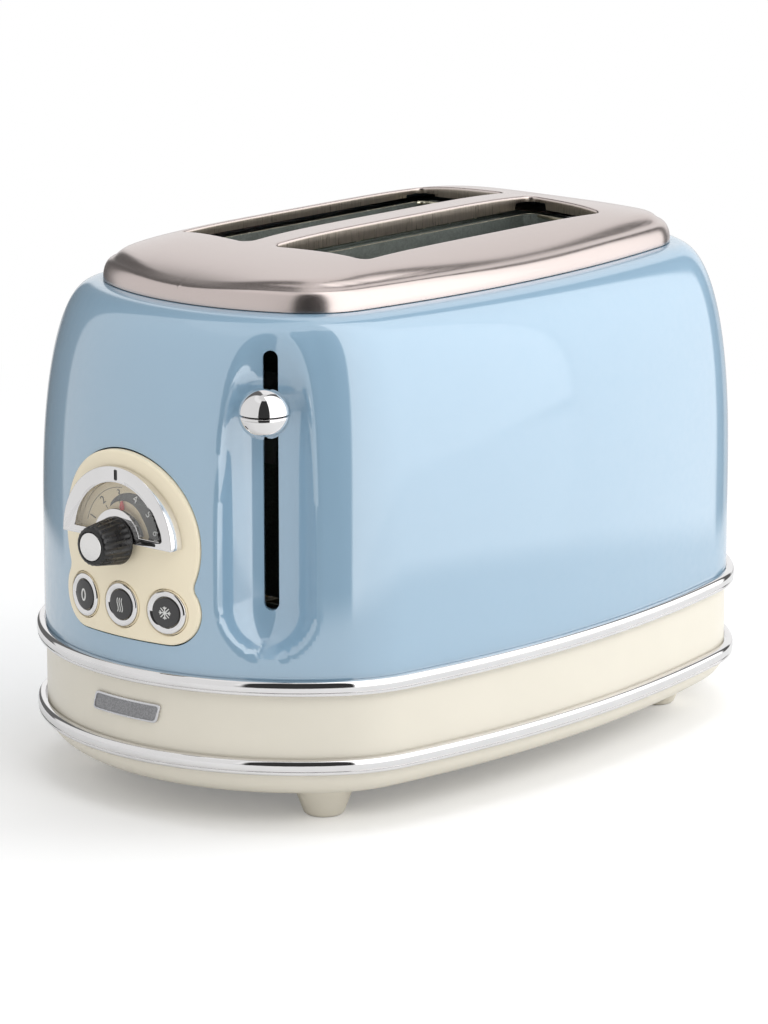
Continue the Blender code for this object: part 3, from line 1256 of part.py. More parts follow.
def lever_arm_solid(name, margin, inner, outer):
    half, tall = LEVER_ARM_WIDTH / 2 + margin, LEVER_ARM_HEIGHT / 2 + margin
    outline = rounded_box(-half, half, LEVER_Z - tall, LEVER_Z + tall, LEVER_ARM_CORNER + margin, 2)
    return prism(name, [outline], inner, outer, lever_frame())


def lever(axis):
    """Two chromed half balls on the end of the arm that comes through the slot."""
    centre = BODY.end_radius + LEVER_PROUD
    place = lever_frame() @ Matrix.Translation((0, LEVER_Z, centre)) @ Matrix.Rotation(-pi / 2, 4, "X")
    turns = [pi / 2 * row / LEVER_BALL_ROW_COUNT for row in range(LEVER_BALL_ROW_COUNT)]
    quarter = [(LEVER_BALL_RADIUS * sin(angle), LEVER_BALL_RADIUS * cos(angle)) for angle in turns]
    seam = GAP / 2
    rim = LEVER_BALL_RADIUS - GAP
    upper = turned("lever_knob_upper", [*quarter, (LEVER_BALL_RADIUS, 2 * GAP), (rim, seam), (0, seam)],
                   ROUND_STEPS, place)
    lower = turned("lever_knob_lower", [(0, -seam), (rim, -seam), (LEVER_BALL_RADIUS, -2 * GAP),
                                        *((radius, -z) for radius, z in reversed(quarter))], ROUND_STEPS, place)
    arm_out = centre - LEVER_ARM_IN_BALL
    for half in (upper, lower):
        cut(half, lever_arm_solid(half.name + "_socket", GAP, arm_out - LEVER_BALL_RADIUS, arm_out + GAP))
        finish(half, CHROME, axis)
    inner = (-CARRIAGE_X + GAP + LEVER_ARM_WIDTH / 2 * sin(LEVER_ANGLE) + END_CENTRE_X) / cos(LEVER_ANGLE)
    finish(lever_arm_solid("lever_arm", 0, inner, arm_out), STEEL, axis)


def carriage(axis):
    """The bracket that joins the lever to both racks and slides on the guide rod."""
    half_width = RACK_Y + CARRIAGE_RACK_MARGIN
    reach = (END_CENTRE_X - CARRIAGE_X) * tan(LEVER_ANGLE) + CARRIAGE_LEVER_MARGIN
    outline = [(-half_width, CARRIAGE_FOOT_Z), (half_width, CARRIAGE_FOOT_Z), (half_width, CARRIAGE_WAIST_Z),
               (0, CARRIAGE_WAIST_Z), (0, CARRIAGE_HEAD_Z), (-reach, CARRIAGE_HEAD_Z),
               (-reach, CARRIAGE_WAIST_Z + CARRIAGE_CORNER), (-half_width, CARRIAGE_WAIST_Z - CARRIAGE_CORNER)]
    bracket = prism("carriage_bracket", [outline], CARRIAGE_X, CARRIAGE_X + CARRIAGE_THICKNESS, FACING_X)
    rod = Matrix.Translation((ROD_X, 0, 0))
    outside = ROD_RADIUS + GAP + SLEEVE_WALL
    join(bracket, round_bar("carriage_sleeve", outside, CARRIAGE_FOOT_Z + CARRIAGE_CORNER,
                            CARRIAGE_WAIST_Z - CARRIAGE_CORNER / 2, rod, SMALL_ROUND_STEPS))
    cut(bracket, round_bar("carriage_bore", ROD_RADIUS + GAP, CARRIAGE_FOOT_Z - OVERRUN, CARRIAGE_WAIST_Z + OVERRUN,
                           rod, SMALL_ROUND_STEPS))
    hook_z = CARRIAGE_WAIST_Z - CARRIAGE_CORNER
    hook_x = CARRIAGE_X + CARRIAGE_THICKNESS / 2
    hook = block("spring_hook", (hook_x, SPRING_Y - SPRING_RADIUS, hook_z - CHASSIS_SHEET),
                 (ROD_X + SPRING_RADIUS, SPRING_Y + SPRING_RADIUS, hook_z))
    join(bracket, hook)
    finish(bracket, STEEL, axis)
    plate_front = CARRIAGE_X - GAP
    outline = rounded_box(ARMATURE_Y - ARMATURE_WIDTH / 2, ARMATURE_Y + ARMATURE_WIDTH / 2, ARMATURE_Z,
                          ARMATURE_Z + ARMATURE_THICKNESS, GAP, 1)
    armature = prism("armature_plate", [outline], plate_front - ARMATURE_LENGTH, plate_front, FACING_X)
    finish(armature, STEEL, axis)
    for side, name in ((-1, "near"), (1, "far")):
        bread_rack(name, side * RACK_Y, axis)


def bread_rack(name, y, axis):
    """A toothed bar with cross ribs, which the bread stands on."""
    front = CARRIAGE_X + CARRIAGE_THICKNESS + GAP
    back = CHASSIS_HALF_LENGTH + CHASSIS_SHEET + RACK_THICKNESS
    top = RACK_Z + RACK_HEIGHT
    half = BREAD_SLOT_HALF_LENGTH - RACK_RIB_WIDTH
    teeth = int(2 * half // RACK_TOOTH_PITCH)
    start = -teeth / 2 * RACK_TOOTH_PITCH
    outline = [(front, RACK_Z), (back, RACK_Z), (back, top - RACK_TOOTH_DEPTH)]
    for tooth in reversed(range(teeth)):
        x = start + tooth * RACK_TOOTH_PITCH
        outline += [(x + RACK_TOOTH_PITCH, top - RACK_TOOTH_DEPTH), (x + RACK_TOOTH_PITCH / 2, top)]
    outline += [(start, top - RACK_TOOTH_DEPTH), (front, top - RACK_TOOTH_DEPTH)]
    bar = prism("bread_rack_" + name, [outline], -y - RACK_THICKNESS / 2, -y + RACK_THICKNESS / 2, FACING_Y)
    pitch = 2 * half / (RACK_RIB_COUNT - 1)
    low = RACK_Z + RACK_HEIGHT / 3
    for index in range(RACK_RIB_COUNT):
        x = -half + index * pitch
        join(bar, block(f"rack_rib_{name}_{index}", (x - RACK_RIB_WIDTH / 2, y - RACK_RIB_REACH, low),
                        (x + RACK_RIB_WIDTH / 2, y + RACK_RIB_REACH, low + CHASSIS_SHEET)))
    finish(bar, STEEL, axis)


def guide_rod():
    low = CHASSIS_FLOOR_Z + CHASSIS_SHEET + GAP
    place = Matrix.Translation((ROD_X, 0, 0))
    finish(round_bar("guide_rod", ROD_RADIUS, low, FRAME_Z - GAP, place, SMALL_ROUND_STEPS), STEEL)


def spring_foot():
    return CARRIAGE_WAIST_Z - CARRIAGE_CORNER + GAP + SPRING_WIRE


def return_spring(axis):
    """A drawn coil between the carriage and the top frame, which pulls the carriage up."""
    low, high = spring_foot(), FRAME_Z - GAP - SPRING_WIRE
    count = SPRING_TURNS * SPRING_POINTS
    path = [(ROD_X + SPRING_RADIUS * cos(2 * pi * step / SPRING_POINTS),
             SPRING_Y + SPRING_RADIUS * sin(2 * pi * step / SPRING_POINTS),
             low + (high - low) * step / count) for step in range(count + 1)]
    least = (high - low) / SPRING_TURNS - 2 * SPRING_WIRE
    print(f"return spring: least gap between turns {least:.5f} m")
    coil = wire("return_spring", path, SPRING_WIRE, 0)
    finish_curve(coil, STEEL)
    coil.parent = axis
    coil.matrix_parent_inverse = axis.matrix_world.inverted()


def electromagnet():
    """A coil on a steel yoke that holds the carriage down by its armature."""
    x = CARRIAGE_X - GAP - ARMATURE_LENGTH / 2
    top = ARMATURE_Z - LEVER_DOWN - GAP
    low = CHASSIS_FLOOR_Z + CHASSIS_SHEET + GAP
    half_x, half_y = ARMATURE_LENGTH / 2 - GAP, ARMATURE_WIDTH / 2
    yoke = block("electromagnet", (x - half_x, ARMATURE_Y - half_y, low), (x + half_x, ARMATURE_Y + half_y, top))
    window_low, window_high = low + CARRIAGE_CORNER, top - CARRIAGE_CORNER
    cut(yoke, block("yoke_window", (x - half_x - OVERRUN, ARMATURE_Y - half_y / 2, window_low),
                    (x + half_x + OVERRUN, ARMATURE_Y + half_y / 2, window_high)))
    join(yoke, round_bar("magnet_coil", MAGNET_COIL_RADIUS, window_low - GAP, window_high + GAP,
                         Matrix.Translation((x, ARMATURE_Y, 0)), SMALL_ROUND_STEPS))
    finish(yoke, STEEL)


def centre_on_origin():
    """Hangs everything on one empty, moved so that knob tip and trim ring lie equally far from the origin."""
    tip = BEZEL_FRONT + GAP + KNOB_LENGTH - CAP_SINK + CAP_THICKNESS
    tail = BODY_HALF_LENGTH + TRIM_PROUD
    carrier = joint_empty("retro_toaster_base", (0, 0, 0))
    for thing in [*PIECES.objects, *CUTTERS.objects]:
        if thing.parent is None and thing is not carrier:
            thing.parent = carrier
    carrier.location.x = (tip - tail) / 2


clear_scene()
PIECES = named_collection("retro_toaster")
CUTTERS = named_collection("cutters")
ENAMEL = material("blue_enamel", (0.42, 0.60, 0.72), 0.18)
CREAM = material("cream_plastic", (0.80, 0.75, 0.64), 0.35)
PANEL_CREAM = material("panel_cream", (0.83, 0.75, 0.55), 0.35)
CHROME = material("chrome", (0.80, 0.80, 0.80), 0.08, 1.0)
BRUSHED = material("brushed_steel", (0.55, 0.50, 0.48), 0.32, 1.0)
SILVER = material("satin_silver", (0.62, 0.62, 0.63), 0.35, 1.0)
GALVANISED = material("galvanised_sheet", (0.42, 0.44, 0.44), 0.5, 1.0)
STEEL = material("plain_steel", (0.45, 0.45, 0.45), 0.4, 1.0)
WIRE_STEEL = material("guide_wire", (0.55, 0.55, 0.54), 0.35, 1.0)
NICHROME = material("heating_wire", (0.30, 0.27, 0.25), 0.5, 1.0)
MICA = material("mica", (0.55, 0.48, 0.36), 0.6)
BLACK = material("black_plastic", (0.02, 0.02, 0.02), 0.35)
RED = material("red_pointer", (0.60, 0.03, 0.03), 0.4)
CLEAR = material("clear_window", (0.90, 0.92, 0.92), 0.05)
BOARD_GREEN = material("circuit_board", (0.05, 0.22, 0.10), 0.5)

body_shell()
control_panel()
dial_bezel()
dial_scale()
browning_knob(joint_empty("browning_knob_axis", (-BEZEL_FRONT, 0, DIAL_Z)))
for place, label in ((-1, "cancel"), (0, "reheat"), (1, "defrost")):
    push_button(label + "_button", place)
circuit_board()
base_pan()
feet()
base_band()
trim_ring("lower_trim_ring", TRIM_LOWER_Z)
trim_ring("upper_trim_ring", TRIM_UPPER_Z)
badge_plate()
cord_gland()
crumb_tray(joint_empty("crumb_tray_slide", (BODY_HALF_LENGTH, 0, TRAY_FLOOR_Z)))
top_plate()
chassis_floor()
chassis_end("chassis_front_plate", -CHASSIS_HALF_LENGTH - CHASSIS_SHEET, True)
chassis_end("chassis_rear_plate", CHASSIS_HALF_LENGTH, True)
reflector("reflector_near", -1)
reflector("reflector_far", 1)
chassis_top_frame()
heater("centre", 0)
heater("near", -HEATER_OUTER_Y)
heater("far", HEATER_OUTER_Y)
for label, y_place in (("near_outer", -GUIDE_OUTER_Y), ("near_inner", -GUIDE_INNER_Y),
                       ("far_inner", GUIDE_INNER_Y), ("far_outer", GUIDE_OUTER_Y)):
    bread_guide(label, y_place)
LEVER_SLIDE = joint_empty("lever_slide", (END_CENTRE_X - (BODY.end_radius + LEVER_PROUD) * cos(LEVER_ANGLE),
                                          -(BODY.end_radius + LEVER_PROUD) * sin(LEVER_ANGLE), LEVER_Z))
lever(LEVER_SLIDE)
carriage(LEVER_SLIDE)
guide_rod()
return_spring(LEVER_SLIDE)
electromagnet()
centre_on_origin()
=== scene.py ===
"""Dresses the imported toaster: moulded shell, steel plate, dial, trims and inner sheets, in a plain studio.

Lengths are metres. X runs along the toaster, the control end faces -X and the feet stand on z = 0.
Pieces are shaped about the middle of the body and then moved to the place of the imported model.
"""

import logging
from dataclasses import dataclass
from enum import Enum
from math import atan2, cos, pi, radians, sin, sqrt
from typing import Callable, Iterable, Sequence

import bmesh
import bpy
from mathutils import Matrix, Vector


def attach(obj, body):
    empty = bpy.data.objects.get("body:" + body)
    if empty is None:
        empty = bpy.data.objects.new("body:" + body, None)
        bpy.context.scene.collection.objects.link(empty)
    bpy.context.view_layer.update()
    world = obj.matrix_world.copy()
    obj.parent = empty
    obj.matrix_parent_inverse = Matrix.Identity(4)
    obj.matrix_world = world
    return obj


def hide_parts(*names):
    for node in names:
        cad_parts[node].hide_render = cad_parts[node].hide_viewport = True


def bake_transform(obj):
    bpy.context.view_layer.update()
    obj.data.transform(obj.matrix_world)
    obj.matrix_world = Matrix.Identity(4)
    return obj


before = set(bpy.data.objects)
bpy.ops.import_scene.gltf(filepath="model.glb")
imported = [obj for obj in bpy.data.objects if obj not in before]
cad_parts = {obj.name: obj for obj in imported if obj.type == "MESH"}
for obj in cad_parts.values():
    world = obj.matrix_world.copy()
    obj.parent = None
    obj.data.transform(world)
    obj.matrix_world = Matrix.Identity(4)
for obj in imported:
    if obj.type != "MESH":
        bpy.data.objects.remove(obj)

LOG = logging.getLogger("toaster")
Plan = list[tuple[float, float]]
Row = list[tuple[float, float, float]]
Colour = tuple[float, float, float]

MIDDLE_X = 0.0068
GAP = 0.0003
OVERRUN = 0.004
WELD = 0.000004
PANEL_PROUD = 0.0008
BUTTON_PITCH = 0.0205
BUTTON_Z = 0.0800
SHAFT_BORE = 0.0036


# Plan outlines

@dataclass(frozen=True)
class Spread:
    """Shares along the end, corner and side arcs at which an outline is sampled.

    Args:
        ends: Shares along an end arc, from its middle.
        corners: Shares along a corner arc.
        sides: Shares along a side arc, up to its middle.
    """

    ends: tuple[float, ...]
    corners: tuple[float, ...]
    sides: tuple[float, ...]

    @classmethod
    def even(cls, ends: int, corners: int, sides: int) -> "Spread":
        """Evenly spread samples, so many to each arc."""
        return cls(*(tuple((step + 1) / count for step in range(count)) for count in (ends, corners, sides)))


@dataclass(frozen=True)
class Outline:
    """A closed plan outline of end, corner and side arcs, symmetric about both axes."""

    half_length: float
    half_width: float
    side_radius: float
    end_radius: float
    corner_radius: float

    @classmethod
    def bulged(cls, half_length: float, half_width: float, end_bulge: float, side_bulge: float,
               corner_radius: float) -> "Outline":
        """An outline whose arcs stand out by their bulges from the box of their crossings.

        Args:
            half_length: Half the length of the box.
            half_width: Half the width of the box.
            end_bulge: How far the ends stand out.
            side_bulge: How far the sides stand out.
            corner_radius: Radius of the corners.

        Returns:
            The outline.
        """
        cross_x, cross_y = half_length - end_bulge, half_width - side_bulge
        return cls(half_length, half_width, (cross_x ** 2 + side_bulge ** 2) / (2 * side_bulge),
                   (cross_y ** 2 + end_bulge ** 2) / (2 * end_bulge), corner_radius)

    def grown(self, distance: float) -> "Outline":
        """The outline moved outwards by a distance, all round."""
        return Outline(*(size + distance for size in (
            self.half_length, self.half_width, self.side_radius, self.end_radius, self.corner_radius)))

    def quarter(self, spread: Spread) -> Plan:
        """The points from the +X tip round to the middle of the +Y side.

        Args:
            spread: Where the arcs are sampled.

        Returns:
            The tip and one point for each share.
        """
        side = Vector((0, self.half_width - self.side_radius))
        end = Vector((self.half_length - self.end_radius, 0))
        corner = circle_crossing(side, self.side_radius - self.corner_radius,
                                 end, self.end_radius - self.corner_radius)
        to_side = atan2(corner.y - side.y, corner.x - side.x)
        to_end = atan2(corner.y - end.y, corner.x - end.x)
        points = [(self.half_length, 0.0)]
        for centre, radius, start, stop, shares in (
                (end, self.end_radius, 0, to_end, spread.ends),
                (corner, self.corner_radius, to_end, to_side, spread.corners),
                (side, self.side_radius, to_side, pi / 2, spread.sides)):
            points += [(centre.x + radius * cos(start + (stop - start) * share),
                        centre.y + radius * sin(start + (stop - start) * share)) for share in shares]
        return points

    def depth(self, x: float, y: float) -> float:
        """How far a point lies inside the outline.

        Args:
            x: Place along the body.
            y: Place across the body.

        Returns:
            The distance, negative outside.
        """
        side = Vector((0, self.half_width - self.side_radius))
        end = Vector((self.half_length - self.end_radius, 0))
        corner = circle_crossing(side, self.side_radius - self.corner_radius,
                                 end, self.end_radius - self.corner_radius)
        point = Vector((abs(x), abs(y)))
        turn = atan2(point.y - corner.y, point.x - corner.x)
        to_end = atan2(corner.y - end.y, corner.x - end.x)
        to_side = atan2(corner.y - side.y, corner.x - side.x)
        if to_end <= turn <= to_side:
            return self.corner_radius - (point - corner).length
        return min(self.end_radius - (point - end).length, self.side_radius - (point - side).length)

    def points(self, spread: Spread, lever_side: Spread | None = None) -> Plan:
        """The outline's points, anticlockwise from +X.

        Args:
            spread: Where the arcs are sampled.
            lever_side: Another spread for the quarter with the lever.

        Returns:
            The closed outline without a repeated last point.
        """
        plain = self.quarter(spread)
        lever = self.quarter(lever_side or spread)
        back = [(-x, y) for x, y in reversed(plain)][1:]
        front = [(-x, -y) for x, y in lever][1:]
        last = [(x, -y) for x, y in reversed(plain)][1:-1]
        return plain + back + front + last


def circle_crossing(first: Vector, first_radius: float, second: Vector, second_radius: float) -> Vector:
    """The crossing of two circles that lies farthest out along +X and +Y.

    Args:
        first: The first centre.
        first_radius: Its radius.
        second: The second centre.
        second_radius: Its radius.

    Returns:
        The crossing point.
    """
    apart = second - first
    along = (first_radius ** 2 - second_radius ** 2 + apart.length_squared) / (2 * apart.length)
    away = sqrt(first_radius ** 2 - along ** 2)
    axis = apart.normalized()
    across = Vector((-axis.y, axis.x))
    return max((first + axis * along + across * away * turn for turn in (1, -1)),
               key=lambda point: point.x + point.y)


BODY = Outline.bulged(0.150, 0.0955, 0.0461, 0.0120, 0.050)
PLATE = Outline.bulged(0.1206, 0.0697, 0.0191, 0.0111, 0.030)
BAND = BODY.grown(-0.0005)
END_CENTRE_X = BODY.end_radius - BODY.half_length
FINE = Spread.even(26, 10, 30)


def arc(centre: tuple[float, float], radius: float, start: float, stop: float, steps: int) -> Plan:
    """Points along an arc, both ends included."""
    return [(centre[0] + radius * cos(start + (stop - start) * step / steps),
             centre[1] + radius * sin(start + (stop - start) * step / steps)) for step in range(steps + 1)]


def circle(radius: float, steps: int, centre: tuple[float, float] = (0, 0)) -> Plan:
    """Points round a whole circle."""
    return arc(centre, radius, 0, 2 * pi, steps)[:-1]


def stadium(half_width: float, low: float, high: float, steps: int = 12) -> Plan:
    """An upright slot outline with round ends."""
    return [*arc((0, high - half_width), half_width, 0, pi, steps),
            *arc((0, low + half_width), half_width, pi, 2 * pi, steps)]


def rounded_box(left: float, right: float, low: float, high: float, radius: float, steps: int = 5) -> Plan:
    """A rectangle with rounded corners, anticlockwise from the lower right.

    Args:
        left: Left edge.
        right: Right edge.
        low: Lower edge.
        high: Upper edge.
        radius: Radius of the corners.
        steps: How many pieces the curve has.

    Returns:
        The outline.
    """
    corners = ((right - radius, low + radius, -pi / 2), (right - radius, high - radius, 0),
               (left + radius, high - radius, pi / 2), (left + radius, low + radius, pi))
    return [point for x, y, start in corners for point in arc((x, y), radius, start, start + pi / 2, steps)]


def level(points: Iterable[tuple[float, float]], z: float) -> Row:
    """A plan outline lifted to one height."""
    return [(x, y, z) for x, y in points]


def end_face(y: float, offset: float = 0.0) -> float:
    """How far out along -X the upright end wall lies at one Y."""
    return sqrt((BODY.end_radius + offset) ** 2 - y ** 2) - END_CENTRE_X


def facing(angle: float = 0.0, centre_x: float = 0.0) -> Matrix:
    """A frame on the end of the body: its X runs sideways, its Y up and its Z outwards.

    Args:
        angle: Turn round an upright axis, from -X towards -Y.
        centre_x: Where that axis stands.

    Returns:
        The matrix from the frame to the body.
    """
    out = Vector((-cos(angle), -sin(angle), 0))
    across = Vector((sin(angle), -cos(angle), 0))
    made = Matrix((across, Vector((0, 0, 1)), out)).transposed().to_4x4()
    made.translation = Vector((centre_x, 0, 0))
    return made


FRONT = facing()
LEVER_ANGLE = radians(34)
LEVER_FRAME = facing(LEVER_ANGLE, END_CENTRE_X)


# Modelling moves

class Bench:
    """Modelling moves that every piece is made with."""

    @staticmethod
    def alone(piece: bpy.types.Object) -> bpy.types.Object:
        """Selects one piece and nothing else.

        Args:
            piece: The piece.

        Returns:
            The same piece.
        """
        for other in list(bpy.context.selected_objects):
            other.select_set(False)
        bpy.context.view_layer.objects.active = piece
        piece.select_set(True)
        return piece

    @staticmethod
    def loft(name: str, rows: Sequence[Row], ring: bool = False, caps: bool = True) -> bpy.types.Object:
        """Draws a circle out through rows of points, one extrusion to a row.

        Args:
            name: The piece's name.
            rows: Equally many points in each.
            ring: Runs the last row back into the first.
            caps: Keeps a face on the first and on the last row.

        Returns:
            The piece, welded, with its faces turned outwards.
        """
        count = len(rows[0])
        filled = caps and not ring
        bpy.ops.object.select_all(action="DESELECT")
        bpy.ops.mesh.primitive_circle_add(vertices=count, radius=BODY.half_width,
                                          fill_type="NGON" if filled else "NOTHING")
        piece = bpy.context.object
        piece.name = piece.data.name = name
        piece.data.vertices.foreach_set("co", [value for point in rows[0] for value in point])
        bpy.ops.object.mode_set(mode="EDIT")
        bpy.ops.mesh.select_all(action="SELECT")
        for row in [*rows[1:], rows[0]] if ring else rows[1:]:
            bpy.ops.mesh.extrude_region_move()
            shape = bmesh.from_edit_mesh(piece.data)
            shape.verts.ensure_lookup_table()
            for vert, point in zip(shape.verts[-count:], row):
                vert.co = point
        bmesh.update_edit_mesh(piece.data)
        bpy.ops.object.mode_set(mode="OBJECT")
        return Bench.weld(piece)

    @staticmethod
    def weld(piece: bpy.types.Object, distance: float = WELD) -> bpy.types.Object:
        """Merges doubles and turns the faces outwards.

        Args:
            piece: The piece.
            distance: How close doubles lie.

        Returns:
            The same piece.
        """
        Bench.alone(piece)
        bpy.ops.object.mode_set(mode="EDIT")
        bpy.ops.mesh.select_all(action="SELECT")
        bpy.ops.mesh.remove_doubles(threshold=distance)
        bpy.ops.mesh.normals_make_consistent(inside=False)
        bpy.ops.object.mode_set(mode="OBJECT")
        return piece

    @staticmethod
    def prism(name: str, outline: Plan, low: float, high: float, place: Matrix | None = None,
              edge: float = 0.0) -> bpy.types.Object:
        """An outline drawn out from low to high, with both rims softened where an edge is given.

        Args:
            name: The piece's name.
            outline: Its outline.
            low: Its back.
            high: Its front.
            place: Where it goes.
            edge: Width of the softened rim.

        Returns:
            The prism.
        """
        piece = Bench.loft(name, [level(outline, low), level(outline, high)])
        if edge:
            Bench.soften(piece, edge)
        return Bench.move(piece, place) if place is not None else piece

    @staticmethod
    def turned(name: str, profile: Plan, steps: int, place: Matrix | None = None) -> bpy.types.Object:
        """A turned solid from (radius, height) points, with poles where the radius is 0.

        Args:
            name: The piece's name.
            profile: Points of radius and height.
            steps: How many sides.
            place: Where it goes.

        Returns:
            The solid.
        """
        rows = [level(circle(max(radius, 0.0), steps), height) for radius, height in profile]
        piece = Bench.loft(name, rows, caps=False)
        return Bench.move(piece, place) if place is not None else piece

    @staticmethod
    def hoop(name: str, profile: Plan, steps: int, place: Matrix | None = None) -> bpy.types.Object:
        """A turned ring from a closed loop of (radius, height) points.

        Args:
            name: The piece's name.
            profile: Points of radius and height.
            steps: How many sides.
            place: Where it goes.

        Returns:
            The ring.
        """
        piece = Bench.loft(name, [level(circle(radius, steps), height) for radius, height in profile],
                           ring=True)
        return Bench.move(piece, place) if place is not None else piece

    @staticmethod
    def rod(name: str, path: Row, radius: float, sides: int = 3, closed: bool = False) -> bpy.types.Object:
        """A round rod or wire along a path of points, made a mesh.

        Args:
            name: The piece's name.
            path: The points it runs through.
            radius: Its radius.
            sides: Points in each quarter of its section.
            closed: Whether the path is a loop.

        Returns:
            The rod.
        """
        curve = bpy.data.curves.new(name, "CURVE")
        curve.dimensions = "3D"
        curve.bevel_depth = radius
        curve.bevel_resolution = sides
        curve.use_fill_caps = True
        spline = curve.splines.new("POLY")
        spline.points.add(len(path[1:]))
        for point, place in zip(spline.points, path):
            point.co = (*place, 1)
        spline.use_cyclic_u = closed
        piece = bpy.data.objects.new(name, curve)
        bpy.context.scene.collection.objects.link(piece)
        Bench.alone(piece)
        bpy.ops.object.convert(target="MESH")
        return Bench.weld(bpy.context.object)

    @staticmethod
    def word(name: str, letters: str, size: float, place: Matrix, depth: float) -> bpy.types.Object:
        """A number set in thin relief, made a mesh.

        Args:
            name: The piece's name.
            letters: What it says.
            size: Height of the type.
            place: Frame whose XY plane it lies on, centred.
            depth: How far it stands out of that plane.

        Returns:
            The mesh.
        """
        bpy.ops.object.select_all(action="DESELECT")
        bpy.ops.object.text_add()
        piece = bpy.context.object
        piece.name = name
        piece.data.body = letters
        piece.data.size = size
        piece.data.extrude = depth
        piece.data.resolution_u = 4
        piece.data.align_x, piece.data.align_y = "CENTER", "CENTER"
        bpy.ops.object.convert(target="MESH")
        piece = bpy.context.object
        return Bench.move(Bench.weld(piece), place)

    @staticmethod
    def move(piece: bpy.types.Object, place: Matrix) -> bpy.types.Object:
        """Puts a piece in its place and writes the place into its mesh.

        Args:
            piece: The piece.
            place: Where it goes.

        Returns:
            The same piece.
        """
        Bench.alone(piece)
        piece.matrix_world = place @ piece.matrix_world
        bpy.ops.object.transform_apply(location=True, rotation=True, scale=True)
        return piece

    @staticmethod
    def modify(piece: bpy.types.Object, kind: str, **settings: object) -> bpy.types.Object:
        """Adds one modifier, sets it and applies it.

        Args:
            piece: The piece.
            kind: The modifier's kind.
            settings: What is set on it.

        Returns:
            The same piece.
        """
        Bench.alone(piece)
        step = piece.modifiers.new(kind.title(), kind)
        for name, value in settings.items():
            setattr(step, name, value)
        bpy.ops.object.modifier_apply(modifier=step.name)
        return piece

    @staticmethod
    def soften(piece: bpy.types.Object, width: float, segments: int = 2,
               angle: float = radians(40)) -> bpy.types.Object:
        """Rounds the sharp edges.

        Args:
            piece: The piece.
            width: How wide.
            segments: How many faces each edge gets.
            angle: Only edges sharper than this.

        Returns:
            The same piece.
        """
        return Bench.modify(piece, "BEVEL", width=width, segments=segments, limit_method="ANGLE",
                            angle_limit=angle, use_clamp_overlap=True)

    @staticmethod
    def thicken(piece: bpy.types.Object, wall: float) -> bpy.types.Object:
        """Gives a skin its wall, inwards."""
        return Bench.modify(piece, "SOLIDIFY", thickness=wall, offset=-1)

    @staticmethod
    def cut(piece: bpy.types.Object, *tools: bpy.types.Object, keep: bool = False) -> bpy.types.Object:
        """Cuts closed shapes out of a closed piece.

        Args:
            piece: The piece.
            tools: The shapes to cut away.
            keep: Whether the tools stay.

        Returns:
            The same piece.
        """
        for tool in tools:
            Bench.modify(piece, "BOOLEAN", operation="DIFFERENCE", object=tool, solver="MANIFOLD")
            if not keep:
                bpy.data.objects.remove(tool)
        return piece

    @staticmethod
    def join(name: str, pieces: Sequence[bpy.types.Object]) -> bpy.types.Object:
        """Makes one piece of several.

        Args:
            name: The piece's name.
            pieces: What is joined.

        Returns:
            The joined piece.
        """
        Bench.alone(pieces[0])
        for piece in pieces:
            piece.select_set(True)
        bpy.ops.object.join()
        made = bpy.context.object
        made.name = made.data.name = name
        return made

    @staticmethod
    def copy(piece: bpy.types.Object, name: str, place: Matrix) -> bpy.types.Object:
        """A copy with its own mesh, in another place.

        Args:
            piece: The piece.
            name: The piece's name.
            place: Where it goes.

        Returns:
            The copy.
        """
        twin = piece.copy()
        twin.data = piece.data.copy()
        twin.name = twin.data.name = name
        bpy.context.scene.collection.objects.link(twin)
        return Bench.move(twin, place)

    @staticmethod
    def slice(piece: bpy.types.Object, places: Iterable[float], axis: int) -> bpy.types.Object:
        """Bisects a piece at several places along one axis, so that it can be bent.

        Args:
            piece: The piece.
            places: Where it is cut.
            axis: 0 for X, 1 for Y, 2 for Z.

        Returns:
            The same piece.
        """
        Bench.alone(piece)
        bpy.ops.object.mode_set(mode="EDIT")
        normal = [0.0, 0.0, 0.0]
        normal[axis] = 1.0
        for place in places:
            point = [0.0, 0.0, 0.0]
            point[axis] = place
            bpy.ops.mesh.select_all(action="SELECT")
            bpy.ops.mesh.bisect(plane_co=point, plane_no=normal)
        bpy.ops.object.mode_set(mode="OBJECT")
        return piece

    @staticmethod
    def bend(piece: bpy.types.Object, rule: Callable[[Vector], Vector]) -> bpy.types.Object:
        """Moves every point of a piece by one rule.

        Args:
            piece: The piece.
            rule: Gives the new place of a point.

        Returns:
            The same piece.
        """
        for vert in piece.data.vertices:
            vert.co = rule(vert.co)
        return piece

    @staticmethod
    def dress(piece: bpy.types.Object, look: "Finish", body: str = "base", nodes: Sequence[str] = (),
              angle: float = 35) -> bpy.types.Object:
        """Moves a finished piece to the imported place, gives it its finish and hangs it on its body.

        Args:
            piece: Shaped about the middle of the body.
            look: The finish.
            body: The body it rides on.
            nodes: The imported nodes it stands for.
            angle: Edges sharper than this, in degrees, stay sharp.

        Returns:
            The piece.
        """
        Bench.move(piece, Matrix.Translation((MIDDLE_X, 0, 0)))
        Bench.alone(piece)
        bpy.ops.object.shade_smooth_by_angle(angle=radians(angle))
        piece.data.materials.clear()
        piece.data.materials.append(look.material())
        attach(piece, body)
        if nodes:
            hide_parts(*nodes)
        LOG.info("%s: %d faces, %s, on %s", piece.name, len(piece.data.polygons), look.name, body)
        return piece


# Finishes

